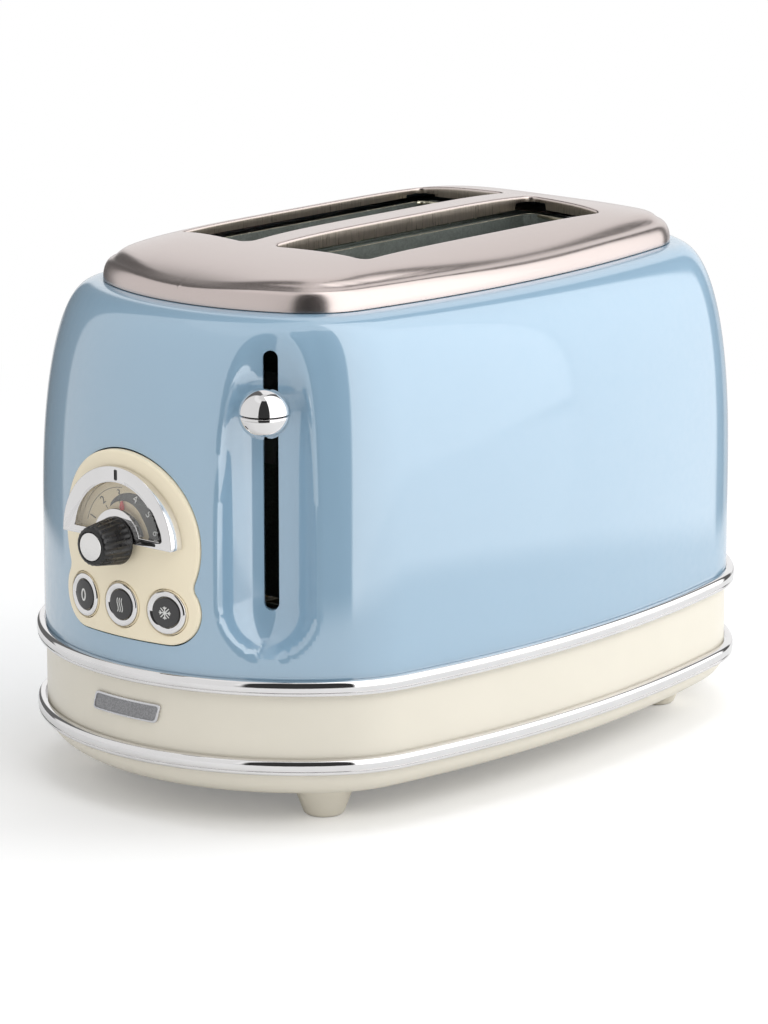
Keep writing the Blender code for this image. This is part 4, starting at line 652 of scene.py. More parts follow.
class Nodes:
    """A node tree while it is put together."""

    def __init__(self, tree: bpy.types.NodeTree) -> None:
        """Starts with a tree."""
        self.tree = tree

    def put(self, socket: bpy.types.NodeSocket, value: object) -> None:
        """Links a socket into an input, or sets a constant on it.

        Args:
            socket: The input.
            value: A socket or a constant.
        """
        if isinstance(value, bpy.types.NodeSocket):
            self.tree.links.new(value, socket)
        else:
            socket.default_value = value

    def node(self, kind: str, **inputs: object) -> bpy.types.Node:
        """Adds a node and sets or links its inputs by name.

        Args:
            kind: The node's kind.
            inputs: Its inputs by name.

        Returns:
            The node.
        """
        made = self.tree.nodes.new(kind)
        for name, value in inputs.items():
            self.put(made.inputs[name.replace("_", " ")], value)
        return made

    def math(self, operation: str, *values: object) -> bpy.types.NodeSocket:
        """Adds one sum and returns its result.

        Args:
            operation: The kind of sum.
            values: What goes in.

        Returns:
            The result.
        """
        made = self.tree.nodes.new("ShaderNodeMath")
        made.operation = operation
        for socket, value in zip(made.inputs, values):
            self.put(socket, value)
        return made.outputs["Value"]

    def ease(self, value: bpy.types.NodeSocket, start: float, stop: float) -> bpy.types.NodeSocket:
        """A share that grows softly from 0 to 1 between two values.

        Args:
            value: What it follows.
            start: Where it is 0.
            stop: Where it is 1.

        Returns:
            The share.
        """
        made = self.tree.nodes.new("ShaderNodeMapRange")
        made.interpolation_type = "SMOOTHSTEP"
        for name, number in (("Value", value), ("From Min", start), ("From Max", stop)):
            self.put(made.inputs[name], number)
        return made.outputs["Result"]

    def between(self, value: bpy.types.NodeSocket, low: float, high: float,
                soft: float) -> bpy.types.NodeSocket:
        """A share that is 1 between two values and 0 outside them."""
        return self.math("MULTIPLY", self.ease(value, low - soft, low + soft),
                         self.ease(value, high + soft, high - soft))

    def blend(self, share: object, low: object, high: object) -> bpy.types.NodeSocket:
        """Mixes two numbers or number sockets by a share."""
        return self.math("MULTIPLY_ADD", share, self.math("SUBTRACT", high, low), low)


class Recipe(Nodes):
    """A material while it is put together."""

    def __init__(self, name: str) -> None:
        """Starts a material with a Principled shader.

        Args:
            name: The material's name.
        """
        self.material = bpy.data.materials.new(name)
        self.material.use_nodes = True
        super().__init__(self.material.node_tree)
        self.shader = self.tree.nodes["Principled BSDF"]

    def set(self, **values: object) -> None:
        """Sets constants on the shader's own sockets."""
        for name, value in values.items():
            self.shader.inputs[name.replace("_", " ").title().replace("Ior", "IOR")].default_value = value

    def place(self, stretch: Colour = (1, 1, 1)) -> bpy.types.NodeSocket:
        """Object coordinates, stretched."""
        where = self.node("ShaderNodeTexCoord").outputs["Object"]
        return self.node("ShaderNodeMapping", Vector=where, Scale=stretch).outputs["Vector"]

    def noise(self, scale: float, detail: float = 2, stretch: Colour = (1, 1, 1)) -> bpy.types.NodeSocket:
        """A noise pattern, so many features to a metre."""
        return self.node("ShaderNodeTexNoise", Vector=self.place(stretch), Scale=scale,
                         Detail=detail).outputs["Fac"]

    def cells(self, scale: float) -> bpy.types.NodeSocket:
        """A pattern of cells with a flat shade each."""
        made = self.node("ShaderNodeTexVoronoi", Vector=self.place(), Scale=scale)
        return self.node("ShaderNodeSeparateColor", Color=made.outputs["Color"]).outputs["Red"]

    def span(self, share: bpy.types.NodeSocket, low: float, high: float) -> bpy.types.NodeSocket:
        """Turns a share from 0.3 to 0.7 into a value from low to high.

        Args:
            share: The share.
            low: The value at 0.3.
            high: The value at 0.7.

        Returns:
            The value.
        """
        made = self.node("ShaderNodeMapRange", Value=share)
        for name, value in (("From Min", 0.3), ("From Max", 0.7), ("To Min", low), ("To Max", high)):
            made.inputs[name].default_value = value
        return made.outputs["Result"]

    def tint(self, share: bpy.types.NodeSocket, low: Colour, high: Colour) -> bpy.types.NodeSocket:
        """Mixes two colours by a share."""
        made = self.node("ShaderNodeMixRGB", Fac=self.span(share, 0, 1), Color1=(*low, 1), Color2=(*high, 1))
        return made.outputs["Color"]

    def bump(self, height: bpy.types.NodeSocket, strength: float, depth: float) -> None:
        """Roughens the surface by a height pattern, depth metres deep at most.

        Args:
            height: The pattern.
            strength: How much of it shows.
            depth: Its depth.
        """
        made = self.node("ShaderNodeBump", Height=height, Strength=strength, Distance=depth)
        if self.shader.inputs["Normal"].is_linked:
            self.tree.links.new(self.shader.inputs["Normal"].links[0].from_socket, made.inputs["Normal"])
        self.feed("Normal", made.outputs["Normal"])

    def feed(self, name: str, socket: bpy.types.NodeSocket) -> None:
        """Links a socket into the shader."""
        self.tree.links.new(socket, self.shader.inputs[name])


def from_screen(red: int, green: int, blue: int) -> Colour:
    """A colour as it shows on a screen, 0 to 255, in linear light."""
    return tuple(value / 12.92 if value <= 0.04045 else ((value + 0.055) / 1.055) ** 2.4
                 for value in (red / 255, green / 255, blue / 255))


def shade(colour: Colour, factor: float) -> Colour:
    """The colour made darker or lighter."""
    return tuple(min(value * factor, 1.0) for value in colour)


@dataclass(frozen=True)
class Finish:
    """A finish with a name, a slot label and its main colour."""

    name: str
    slot: str
    colour: Colour
    roughness: float = 0.4
    variation: float = 0.03

    def material(self) -> bpy.types.Material:
        """The Blender material, made once."""
        return bpy.data.materials.get(self.name) or self.mix()

    def mix(self) -> bpy.types.Material:
        """Puts the material together.

        Returns:
            The material.
        """
        recipe = Recipe(self.name)
        recipe.feed("Base Color", recipe.tint(recipe.noise(60, 4), shade(self.colour, 1 - self.variation),
                                              shade(self.colour, 1 + self.variation)))
        recipe.feed("Roughness", recipe.span(recipe.noise(300, 3), self.roughness * 0.85,
                                             self.roughness * 1.15))
        self.detail(recipe)
        return recipe.material

    def detail(self, recipe: Recipe) -> None:
        """Adds what only this finish has."""
        recipe.bump(recipe.noise(4000, 2), 0.1, 0.00005)


@dataclass(frozen=True)
class Enamel(Finish):
    """Deep glossy paint over a faint pearl."""

    ripple: float = 0.00005

    def detail(self, recipe: Recipe) -> None:
        """A clear coat over a satin pearl, with the faintest ripple."""
        recipe.set(coat_weight=1.0, coat_roughness=0.03, coat_ior=2.1, specular_ior_level=0.9)
        recipe.bump(recipe.noise(1500, 1), 0.02, self.ripple)


@dataclass(frozen=True)
class Moulded(Finish):
    """Moulded plastic with a satin skin."""

    grain: float = 0.06

    def detail(self, recipe: Recipe) -> None:
        """A fine grain and the slight waves of a moulding.

        Args:
            recipe: The material to work on.
        """
        recipe.set(coat_weight=0.15, coat_roughness=0.12)
        recipe.bump(recipe.noise(3500, 2), self.grain, 0.00006)
        recipe.bump(recipe.noise(40, 1), 0.05, 0.0002)


@dataclass(frozen=True)
class Plated(Finish):
    """Bright plating with hairline scratches."""

    scratch: float = 0.03

    def detail(self, recipe: Recipe) -> None:
        """Metal with faint scratches one way."""
        recipe.set(metallic=1.0)
        recipe.bump(recipe.noise(700, 2, (1, 1, 9)), self.scratch, 0.00003)


class Grain(Enum):
    """The way in which steel is brushed, as the stretch of its streaks."""

    LENGTHWISE = (0.03, 1.0, 1.0)
    UPRIGHT = (1.0, 1.0, 0.05)


@dataclass(frozen=True)
class Brushed(Finish):
    """Brushed steel."""

    grain: Grain = Grain.LENGTHWISE
    depth: float = 0.000015

    def detail(self, recipe: Recipe) -> None:
        """Streaks along the grain in colour, gloss and relief.

        Args:
            recipe: The material to work on.
        """
        streaks = recipe.noise(2200, 3, self.grain.value)
        recipe.set(metallic=1.0)
        recipe.feed("Base Color", recipe.tint(streaks, shade(self.colour, 1 - self.variation),
                                              shade(self.colour, 1 + self.variation)))
        recipe.feed("Roughness", recipe.span(streaks, self.roughness * 0.88, self.roughness * 1.12))
        recipe.bump(streaks, 0.12, self.depth)


@dataclass(frozen=True)
class Galvanised(Finish):
    """Zinc-coated sheet with a spangle."""

    spangle: float = 700

    def detail(self, recipe: Recipe) -> None:
        """Crystals of slightly different grey, with specks.

        Args:
            recipe: The material to work on.
        """
        recipe.set(metallic=0.85)
        recipe.feed("Base Color", recipe.tint(recipe.cells(self.spangle), shade(self.colour, 0.85),
                                              shade(self.colour, 1.1)))
        recipe.bump(recipe.noise(2500, 3), 0.2, 0.00008)


@dataclass(frozen=True)
class Clear(Finish):
    """A clear moulded window."""

    def detail(self, recipe: Recipe) -> None:
        """Nearly see-through, with a gloss."""
        recipe.set(alpha=0.10, specular_ior_level=0.6)
        recipe.material.surface_render_method = "BLENDED"


ENAMEL = Enamel("blue_enamel_paint", "blue_enamel", from_screen(140, 175, 200), 0.42, 0.006)
CREAM = Moulded("cream_moulding", "cream_plastic", from_screen(234, 228, 213), 0.35, 0.01)
PANEL = Moulded("panel_cream_moulding", "panel_cream", from_screen(250, 238, 210), 0.38, 0.01)
CHROME = Plated("bright_chrome", "chrome", (0.80, 0.79, 0.79), 0.05)
PLATE_STEEL = Brushed("brushed_plate_steel", "brushed_steel", from_screen(208, 196, 192), 0.24, 0.02)
# The flange steel is the plate steel made darker for the slot walls: painted shade, with an upright brushing
# of its own.
SHADED_FLANGE_STEEL = Brushed("flange_steel_painted_shade", "brushed_steel", from_screen(186, 176, 165), 0.30, 0.14,
                       Grain.UPRIGHT, 0.00004)
SILVER = Plated("satin_silver_metal", "satin_silver", (0.66, 0.66, 0.68), 0.28)
ZINC = Galvanised("galvanised_zinc", "galvanised", from_screen(160, 168, 164), 0.42, spangle=2400)
# The hem steel is the galvanised sheet made paler and brighter: painted highlight along the rolled edges.
HIGHLIT_HEM_STEEL = Plated("hem_steel_painted_highlight", "galvanised", from_screen(225, 222, 200), 0.25)
STEEL = Brushed("plain_mill_steel", "plain_steel", (0.50, 0.50, 0.50), 0.38, 0.05, Grain.UPRIGHT)
NICHROME = Plated("nichrome_wire", "heating_wire", (0.33, 0.30, 0.27), 0.45)
MICA = Moulded("mica_card", "mica", from_screen(190, 172, 140), 0.55, 0.12)
BLACK = Moulded("black_moulding", "black_plastic", (0.007, 0.0065, 0.007), 0.28)
CHARCOAL = Moulded("charcoal_moulding", "black_plastic", (0.045, 0.044, 0.045), 0.42)
INK = Moulded("dark_print", "black_plastic", (0.055, 0.050, 0.045), 0.5)
PALE_INK = Moulded("pale_print", "satin_silver", (0.72, 0.72, 0.70), 0.4)
SCALE = Moulded("scale_cream", "panel_cream", from_screen(226, 210, 176), 0.45)
RED = Moulded("red_pointer_plastic", "red_plastic", (0.62, 0.035, 0.035), 0.4)
CLEAR = Clear("clear_window_plastic", "clear_window", (0.95, 0.97, 0.97), 0.04)
BOARD = Moulded("board_laminate", "circuit_board", (0.04, 0.16, 0.08), 0.45)


# Sub-assemblies

@dataclass
class Shell:
    """The moulded body shell with its finger recess."""

    foot_z: float = 0.0553
    shoulder_z: float = 0.0924
    top_z: float = 0.1870
    power: float = 2.565
    wall: float = 0.0022
    lip: float = 0.0004
    ledge: float = 0.0050
    step: float = 0.0017
    groove_depth: float = 0.013
    groove_half_width: float = 0.018
    groove_foot_z: float = 0.084
    groove_softness: float = 0.003
    slot_half_width: float = 0.00275
    slot_foot_z: float = 0.0803
    slot_head_z: float = 0.1758
    panel_gap: float = 0.0005

    def spread(self) -> tuple[Spread, Spread]:
        """Plain samples, and closer ones for the quarter with the recess.

        Returns:
            The spread of the plain quarters, and of the one with the recess.
        """
        plain = Spread.even(26, 10, 34)
        ends = [share / 60 for share in range(1, 61) if share > 24 or share % 3 == 0]
        return plain, Spread(tuple(ends), tuple(step / 20 for step in range(1, 21)),
                             tuple(step / 40 for step in range(1, 41)))

    def sink(self, x: float, y: float, z: float) -> tuple[float, float, float]:
        """Presses the finger recess into one point of the skin.

        Args:
            x: Place along the body.
            y: Place across the body.
            z: Height.

        Returns:
            The point, moved inwards where the recess is.
        """
        across = (x - END_CENTRE_X) * sin(LEVER_ANGLE) - y * cos(LEVER_ANGLE)
        out = -(x - END_CENTRE_X) * cos(LEVER_ANGLE) - y * sin(LEVER_ANGLE)
        radius = (self.groove_half_width ** 2 + self.groove_depth ** 2) / (2 * self.groove_depth)
        below = min(z - self.groove_foot_z, 0)
        rest = radius ** 2 - across ** 2 - below ** 2
        if rest <= 0 or out < 0:
            return x, y, z
        floor = BODY.end_radius - self.groove_depth + radius - sqrt(rest)
        share = max(self.groove_softness - abs(out - floor), 0) / self.groove_softness
        moved = min(out, floor) - share ** 2 * self.groove_softness / 4
        return x + (out - moved) * cos(LEVER_ANGLE), y + (out - moved) * sin(LEVER_ANGLE), z

    def rows(self) -> list[Row]:
        """The skin's rows from the upper trim ring up to the mouth under the plate.

        Returns:
            The rows, from the foot up.
        """
        spreads = self.spread()
        lower = BODY.points(*spreads)
        upper = PLATE.grown(self.lip).points(*spreads)
        count = round((self.shoulder_z - self.foot_z) / self.step)
        rows = [level(lower, self.foot_z + (self.shoulder_z - self.foot_z) * row / count)
                for row in range(count)]
        dense = []
        for step in range(1201):
            angle = pi / 2 * step / 1200
            dense.append((1 - max(cos(angle), 0) ** (2 / self.power), sin(angle) ** (2 / self.power)))
        depth = BODY.half_length - PLATE.half_length
        rise = self.top_z - self.shoulder_z
        travel = [0.0]
        for (inset, height), (next_inset, next_height) in zip(dense, dense[1:]):
            length = sqrt(((next_inset - inset) * depth) ** 2 + ((next_height - height) * rise) ** 2)
            travel.append(travel[-1] + length)
        count = round(travel[-1] / self.step)
        index = 0
        for row in range(count + 1):
            while travel[index] < travel[-1] * row / count - WELD:
                index += 1
            inset, height = dense[index]
            blend = [(x1 + (x2 - x1) * inset, y1 + (y2 - y1) * inset)
                     for (x1, y1), (x2, y2) in zip(lower, upper)]
            rows.append(level(blend, self.shoulder_z + rise * height))
        rows.append(level(PLATE.grown(-self.ledge).points(*spreads), self.top_z))
        return [[self.sink(*point) for point in row] for row in rows]

    def build(self) -> None:
        """Makes the skin, gives it its wall, and cuts the lever slot and the panel opening."""
        shell = Bench.loft("shell", self.rows(), caps=False)
        Bench.thicken(shell, self.wall)
        low = BODY.end_radius - self.groove_depth - self.wall - OVERRUN
        slot_outline = stadium(self.slot_half_width, self.slot_foot_z, self.slot_head_z)
        slot = Bench.prism("slot_tool", slot_outline, low, BODY.end_radius, LEVER_FRAME)
        opening = Bench.prism("panel_tool", ControlPanel().outline(self.panel_gap), BODY.end_radius,
                              BODY.half_length + OVERRUN, FRONT)
        Bench.cut(shell, slot, opening)
        Bench.dress(shell, ENAMEL, nodes=["body_shell"], angle=40)


@dataclass
class TopPlate:
    """The domed plate with its two slots and their flanges, and the hems of the chamber mouths."""

    foot_z: float = 0.1873
    base_z: float = 0.1925
    rise: float = 0.0118
    length_power: float = 4.4
    width_power: float = 4.2
    roll_foot_z: float = 0.1881
    roll_rise: float = 0.0070
    roll_width: float = 0.0040
    roll_blend: float = 0.0016
    rim_inset: float = 0.0006
    sheet: float = 0.0008
    slot_half_length: float = 0.075
    slot_inner_y: float = 0.006
    slot_outer_y: float = 0.046
    slot_corner: float = 0.004
    slot_end_lean: float = 0.005
    lip_radius: float = 0.0012
    flange_foot_z: float = 0.1982
    mouth_setback: float = 0.0010
    hem_radius: float = 0.0008
    hem_z: float = 0.1954
    relief_reach: float = 0.0085
    row_shares: tuple[float, ...] = (0.06, 0.14, 0.24, 0.35, 0.46, 0.56, 0.65, 0.73,
                                     0.79, 0.84, 0.88, 0.915, 0.945, 0.968, 0.985, 1.0)
    relief_head_drop: float = 0.0021

    def height(self, x: float, y: float) -> float:
        """The height of the dome, rounded down to the rim, at one place.

        Args:
            x: Place along the body.
            y: Place across the body.

        Returns:
            The height.
        """
        along = 1 - min(abs(x) / PLATE.half_length, 1) ** self.length_power
        across = 1 - min(abs(y) / PLATE.half_width, 1) ** self.width_power
        dome = self.base_z + self.rise * along * across
        depth = max(PLATE.depth(x, y), 0)
        share = min(depth / self.roll_width, 1)
        roll = self.roll_foot_z + self.roll_rise * sqrt(1 - (1 - share) ** 2)
        roll += max(depth - self.roll_width, 0)
        near = max(self.roll_blend - abs(dome - roll), 0) / self.roll_blend
        return min(dome, roll) - near ** 2 * self.roll_blend / 4

    def slot(self, margin: float, steps: int = 24) -> Plan:
        """The outline of the near slot, grown by a margin, with equally many points for any margin.

        Args:
            margin: How far it is grown.
            steps: Points on each side and corner.

        Returns:
            The outline.
        """
        low, high = self.slot_inner_y - margin, self.slot_outer_y + margin
        radius = self.slot_corner + margin
        long, short = self.slot_half_length + margin, self.slot_half_length + margin - self.slot_end_lean
        corners = []
        for x, y, quarter in ((long, low, -1), (short, high, 0), (-short, high, 1), (-long, low, 2)):
            centre = (x - radius * (1 if x > 0 else -1), y + radius * (1 if y == low else -1))
            corners.append(arc(centre, radius, quarter * pi / 2, (quarter + 1) * pi / 2, steps))
        points: Plan = []
        for index, corner in enumerate(corners):
            (x1, y1), (x2, y2) = corner[-1], corners[(index + 1) % 4][0]
            points += corner
            points += [(x1 + (x2 - x1) * share / steps, y1 + (y2 - y1) * share / steps)
                       for share in range(1, steps)]
        return [(x, -y) for x, y in points]

    def rim(self) -> Plan:
        """The near half's border: round the plate's inset outline, then back along the middle line.

        Returns:
            The border.
        """
        inset = PLATE.grown(-self.rim_inset)
        quarter = inset.quarter(self.spread())
        near = [(-x, -y) for x, y in quarter] + [(x, -y) for x, y in reversed(quarter[:-1])]
        count = 120
        reach = inset.half_length
        middle = [(reach * cos(pi * step / count), 0.0) for step in range(1, count)]
        return near + middle

    @staticmethod
    def spread() -> Spread:
        """Samples of the plate's outline."""
        return Spread.even(34, 18, 40)

    def sectors(self, margins: Sequence[float]) -> list[Plan]:
        """For each margin, the slot's points that lie opposite the rim's points.

        Args:
            margins: How far the slot is grown, one row each.

        Returns:
            One row of slot points for each margin.
        """
        middle_y = -(self.slot_inner_y + self.slot_outer_y) / 2
        half_slot = (self.slot_outer_y - self.slot_inner_y) / 2
        base = self.slot(margins[0])
        turns = [atan2((y - middle_y) / half_slot, x / self.slot_half_length) % (2 * pi) for x, y in base]
        order = sorted(range(len(turns)), key=turns.__getitem__)
        turns = [turns[index] for index in order]
        rows: list[Plan] = [[] for _ in margins]
        plans = [self.slot(margin) for margin in margins]
        half_rim = PLATE.half_width / 2
        for x, y in self.rim():
            turn = atan2((y + half_rim) / half_rim, x / PLATE.half_length) % (2 * pi)
            after = next((place for place, value in enumerate(turns) if value >= turn), 0)
            first, second = order[after - 1], order[after]
            start = turns[after - 1] - (2 * pi if after == 0 else 0)
            gap = (turns[after] if after or turn <= turns[0] else turns[0] + 2 * pi) - start
            if after == 0 and turn > turns[0]:
                start = turns[-1]
                gap = turns[0] + 2 * pi - start
            share = min(max((turn - start) / gap, 0), 1) if gap else 0
            for row, plan in zip(rows, plans):
                (x1, y1), (x2, y2) = plan[first], plan[second]
                row.append((x1 + (x2 - x1) * share, y1 + (y2 - y1) * share))
        return rows

    def half(self, name: str, side: int) -> bpy.types.Object:
        """One half of the dome with its slot's lip and flange.

        Args:
            name: The piece's name.
            side: -1 for the near half, 1 for the far one.

        Returns:
            The half, as an open sheet.
        """
        turns = [pi / 2 * step / 5 for step in range(6)]
        margins = [self.lip_radius * (1 - sin(turn)) for turn in turns]
        slots = self.sectors(margins)
        rows: list[Row] = []
        foot = [(x, y, self.flange_foot_z) for x, y in slots[-1]]
        mid = [(x, y, (self.flange_foot_z + self.height(x, y) - self.lip_radius) / 2) for x, y in slots[-1]]
        rows += [foot, mid]
        for turn, plan in reversed(list(zip(turns, slots))):
            rows.append([(x, y, self.height(x, y) - self.lip_radius * (1 - cos(turn))) for x, y in plan])
        rim = self.rim()
        for share in self.row_shares:
            row = []
            for (x1, y1), (x2, y2) in zip(slots[0], rim):
                x, y = x1 + (x2 - x1) * share, y1 + (y2 - y1) * share
                row.append((x, y, self.height(x, y)))
            rows.append(row)
        if side > 0:
            rows = [[(x, -y, z) for x, y, z in row] for row in rows]
        return Bench.loft(name, rows, caps=False)

    def edge(self) -> bpy.types.Object:
        """The rolled edge, from the rim of the dome down to the shell.

        Returns:
            The edge, as an open sheet.
        """
        spread = self.spread()
        rows: list[Row] = []
        for share in (1.0, 0.6, 0.3, 0.1, 0.0):
            plan = PLATE.grown(-self.rim_inset * share).points(spread)
            rows.append([(x, y, self.height(x, y)) for x, y in plan])
        head = rows[-1]
        for share in (0.5, 1.0):
            rows.append([(x, y, z + (self.foot_z - z) * share) for x, y, z in head])
        rows.append(level(PLATE.grown(-self.sheet * 2).points(spread), self.foot_z))
        return Bench.loft("plate_edge", rows, caps=False)

    def reliefs(self) -> list[bpy.types.Object]:
        """Tools for the gaps between the folded flanges at the corners of the slots.

        Returns:
            The cutting tools.
        """
        tools = []
        for side in (-1, 1):
            for x in (-self.slot_half_length, self.slot_half_length):
                for y, lean, way in ((self.slot_inner_y, 0, 1), (self.slot_outer_y, self.slot_end_lean, -1)):
                    turn = 1 if x > 0 else -1
                    end = (abs(x) - lean) * turn
                    head = self.height(end, y) - self.relief_head_drop
                    rows = []
                    for z, reach in ((self.flange_foot_z - OVERRUN, self.relief_reach + 0.0015),
                                     (head, self.relief_reach)):
                        xs = sorted((end - reach * turn, end + 0.0012 * turn))
                        ys = sorted((side * (y + way * reach), side * (y - way * 0.0012)))
                        corners = [(xs[0], ys[0]), (xs[1], ys[0]), (xs[1], ys[1]), (xs[0], ys[1])]
                        rows.append(level(corners, z))
                    tools.append(Bench.loft("relief_tool", rows))
        return tools

    def build(self) -> None:
        """Joins both halves and the edge into one sheet."""
        plate = Bench.join("plate", [self.half("near_half", -1), self.half("far_half", 1), self.edge()])
        Bench.weld(plate, 0.00003)
        Bench.thicken(plate, self.sheet)
        Bench.cut(plate, *self.reliefs())
        Bench.dress(plate, PLATE_STEEL, nodes=["top_plate"], angle=50)
        # The slot walls take the darker flange steel, which is painted shade on the same sheet as the plate.
        plate.data.materials.append(SHADED_FLANGE_STEEL.material())
        for face in plate.data.polygons:
            inside = (abs(face.center.x - MIDDLE_X) < self.slot_half_length + self.lip_radius
                      and abs(face.center.y) < self.slot_outer_y + self.lip_radius)
            if inside and abs(face.normal.z) < 0.4:
                face.material_index = 1
        self.hems()

    def hems(self) -> None:
        """The rolled edges of the two chamber mouths, just under the slots."""
        for side, label in ((-1, "near"), (1, "far")):
            mouth = self.slot(self.hem_radius - self.mouth_setback, 8)
            loop = [(x, y * -side, self.hem_z) for x, y in mouth]
            hem = Bench.rod(f"mouth_hem_{label}", loop, self.hem_radius, 3, closed=True)
            # The hems' pale finish is painted highlight on galvanised sheet.
            Bench.dress(hem, HIGHLIT_HEM_STEEL)


@dataclass
class Base:
    """Trim rings, band, pan, feet, badge plate, gland and crumb tray."""

    pan_floor_z: float = 0.011
    pan_wall_z: float = 0.0224
    pan_top_z: float = 0.0255
    pan_wall: float = 0.0025
    pan_inset: float = 0.0195
    band_top_z: float = 0.0550
    band_wall: float = 0.0024
    trim_height: float = 0.0058
    trim_proud: float = 0.0031
    trim_levels: tuple[float, float] = (0.0255, 0.0549)
    trim_crown: tuple[tuple[float, float], ...] = (
        (0.55, 1), (0.80, 0.90), (0.93, 0.72), (1, 0.42), (1, 0.05), (0.985, -0.30),
        (0.93, -0.42), (0.84, -0.47), (0.93, -0.53), (0.93, -0.74), (0.80, -0.90), (0.55, -1))
    foot_x: float = 0.0998
    foot_y: float = 0.0526
    foot_toe: float = 0.0078
    foot_head: float = 0.0134
    foot_height: float = 0.0150
    badge_half_length: float = 0.0162
    badge_foot_z: float = 0.0376
    badge_head_z: float = 0.0448
    badge_lean: float = 0.0010
    gland_x: float = 0.068
    gland_z: float = 0.040
    gland_bore: float = 0.0034
    gland_body: float = 0.0055
    gland_flange: float = 0.0078
    tray_half_width: float = 0.050
    tray_front_half_width: float = 0.054
    tray_pull_half_width: float = 0.022
    tongue_length: float = 0.05
    tongue_overlap: float = 0.008
    tray_front_foot_z: float = 0.0325
    tray_front_head_z: float = 0.0480
    tray_floor_z: float = 0.0340
    tray_depth: float = 0.0080
    tray_wall: float = 0.0010
    tray_back: float = 0.078

    def trim(self, name: str, z: float) -> None:
        """A bright strip with a crown, a fine line low down and turned-in edges.

        Args:
            name: The piece's name.
            z: The height of its middle.
        """
        half = self.trim_height / 2
        crown = [(self.trim_proud * out, half * up) for out, up in self.trim_crown]
        profile = [(GAP, half), *crown, (GAP, -half)]
        rows = [level(BODY.grown(out).points(FINE), z + height) for out, height in profile]
        ring = Bench.loft(name, rows, ring=True)
        Bench.dress(ring, CHROME, nodes=[name.replace("bright", "trim")], angle=50)

    def band(self) -> None:
        """The cream band, open at the rear for the tray and bored for the gland."""
        foot, head = self.pan_top_z + GAP, self.band_top_z
        inner = BAND.grown(-self.band_wall)
        rows = [level(BAND.points(FINE), foot + (head - foot) * step / 6) for step in range(7)]
        rows += [level(inner.points(FINE), head), level(inner.points(FINE), foot)]
        band = Bench.loft("band", rows, ring=True)
        half = self.tray_front_half_width + GAP
        opening = Bench.prism("tray_tool", rounded_box(-half, half, self.tray_front_foot_z - GAP,
                                                       self.tray_front_head_z + GAP, 0.0012),
                              BODY.half_length / 2, BODY.half_length + OVERRUN, facing(pi))
        bore = Bench.turned("gland_tool", [(0, 0.05), (0.0058, 0.05), (0.0058, BODY.half_width + OVERRUN),
                                           (0, BODY.half_width + OVERRUN)], 32, self.gland_frame())
        Bench.cut(band, opening, bore)
        Bench.dress(band, CREAM, nodes=["base_band"])

    def gland_frame(self) -> Matrix:
        """The gland's axis, out of the far side."""
        return Matrix.Translation((self.gland_x, 0, self.gland_z)) @ Matrix.Rotation(-pi / 2, 4, "X")

    def hull(self, grow: float, lift: float, count: int) -> list[Row]:
        """Rows of the pan's hull, from its flat floor up the rounded side.

        Args:
            grow: How far it is grown.
            lift: How far it is raised.
            count: How many rows the curve has.

        Returns:
            The rows.
        """
        rows = []
        for row in range(count + 1):
            angle = pi / 2 * row / count
            inset = 0.0005 + self.pan_inset * (1 - sin(angle))
            z = self.pan_wall_z - (self.pan_wall_z - self.pan_floor_z) * cos(angle)
            rows.append(level(BODY.grown(grow - inset).points(FINE), z + lift))
        rows.append(level(BODY.grown(grow - 0.0005).points(FINE), self.pan_top_z + lift))
        return rows

    def pan(self) -> None:
        """The pan with vents in its floor."""
        pan = Bench.loft("pan", self.hull(0, 0, 16))
        Bench.cut(pan, Bench.loft("pan_hollow", self.hull(-self.pan_wall, self.pan_wall, 8)))
        for side in (-1, 1):
            for index in range(-2, 3):
                outline = rounded_box(side * 0.030 - 0.020, side * 0.030 + 0.020, index * 0.011 - 0.0017,
                                      index * 0.011 + 0.0017, 0.0016)
                Bench.cut(pan, Bench.prism("vent_tool", outline, self.pan_floor_z - OVERRUN,
                                           self.pan_floor_z + self.pan_wall + OVERRUN))
        Bench.dress(pan, CREAM, nodes=["base_pan"])

    def feet(self) -> None:
        """Four truncated cones with a rounded toe."""
        toe = self.foot_toe
        profile = [(0, self.foot_height), (self.foot_head * 0.96, self.foot_height), (toe + 0.0006, 0.0030),
                   (toe, 0.0016), (toe - 0.0004, 0.0007), (toe - 0.0011, 0.0001), (toe - 0.0020, 0), (0, 0)]
        foot = Bench.turned("foot", profile, 48)
        names = ("foot_front_near", "foot_front_far", "foot_rear_near", "foot_rear_far")
        for name, (x, y) in zip(names, ((-1, -1), (-1, 1), (1, -1), (1, 1))):
            twin = Bench.copy(foot, name.replace("foot", "cone"),
                              Matrix.Translation((x * self.foot_x, y * self.foot_y, 0)))
            Bench.dress(twin, CREAM, nodes=[name])
        bpy.data.objects.remove(foot)

    def badge(self) -> None:
        """A bare plate with a bright rim and a grained field, bent to the band."""
        half, foot, head = self.badge_half_length, self.badge_foot_z, self.badge_head_z
        middle = (foot + head) / 2
        upright = rounded_box(-half, half, foot, head, 0.0014)
        outline = [(x + self.badge_lean * (y - middle) / (head - middle), y) for x, y in upright]
        field = [(x * 0.955, middle + (y - middle) * 0.80) for x, y in outline]
        plate = Bench.prism("badge", outline, 0, 0.0008, edge=0.00025)
        sink = Bench.prism("badge_tool", field, 0.0005, 0.0020)
        Bench.cut(plate, sink)
        grained = Bench.prism("badge_field", field, 0.0001, 0.00055)
        for piece, look, nodes in ((plate, SILVER, ["badge_plate"]), (grained, BADGE_FIELD, [])):
            Bench.slice(piece, [step * 0.002 for step in range(-9, 10)], 0)
            Bench.bend(piece, lambda point: Vector((
                -end_face(point.x, point.z + GAP - 0.0005), -point.x, point.y)))
            Bench.dress(piece, look, nodes=nodes)

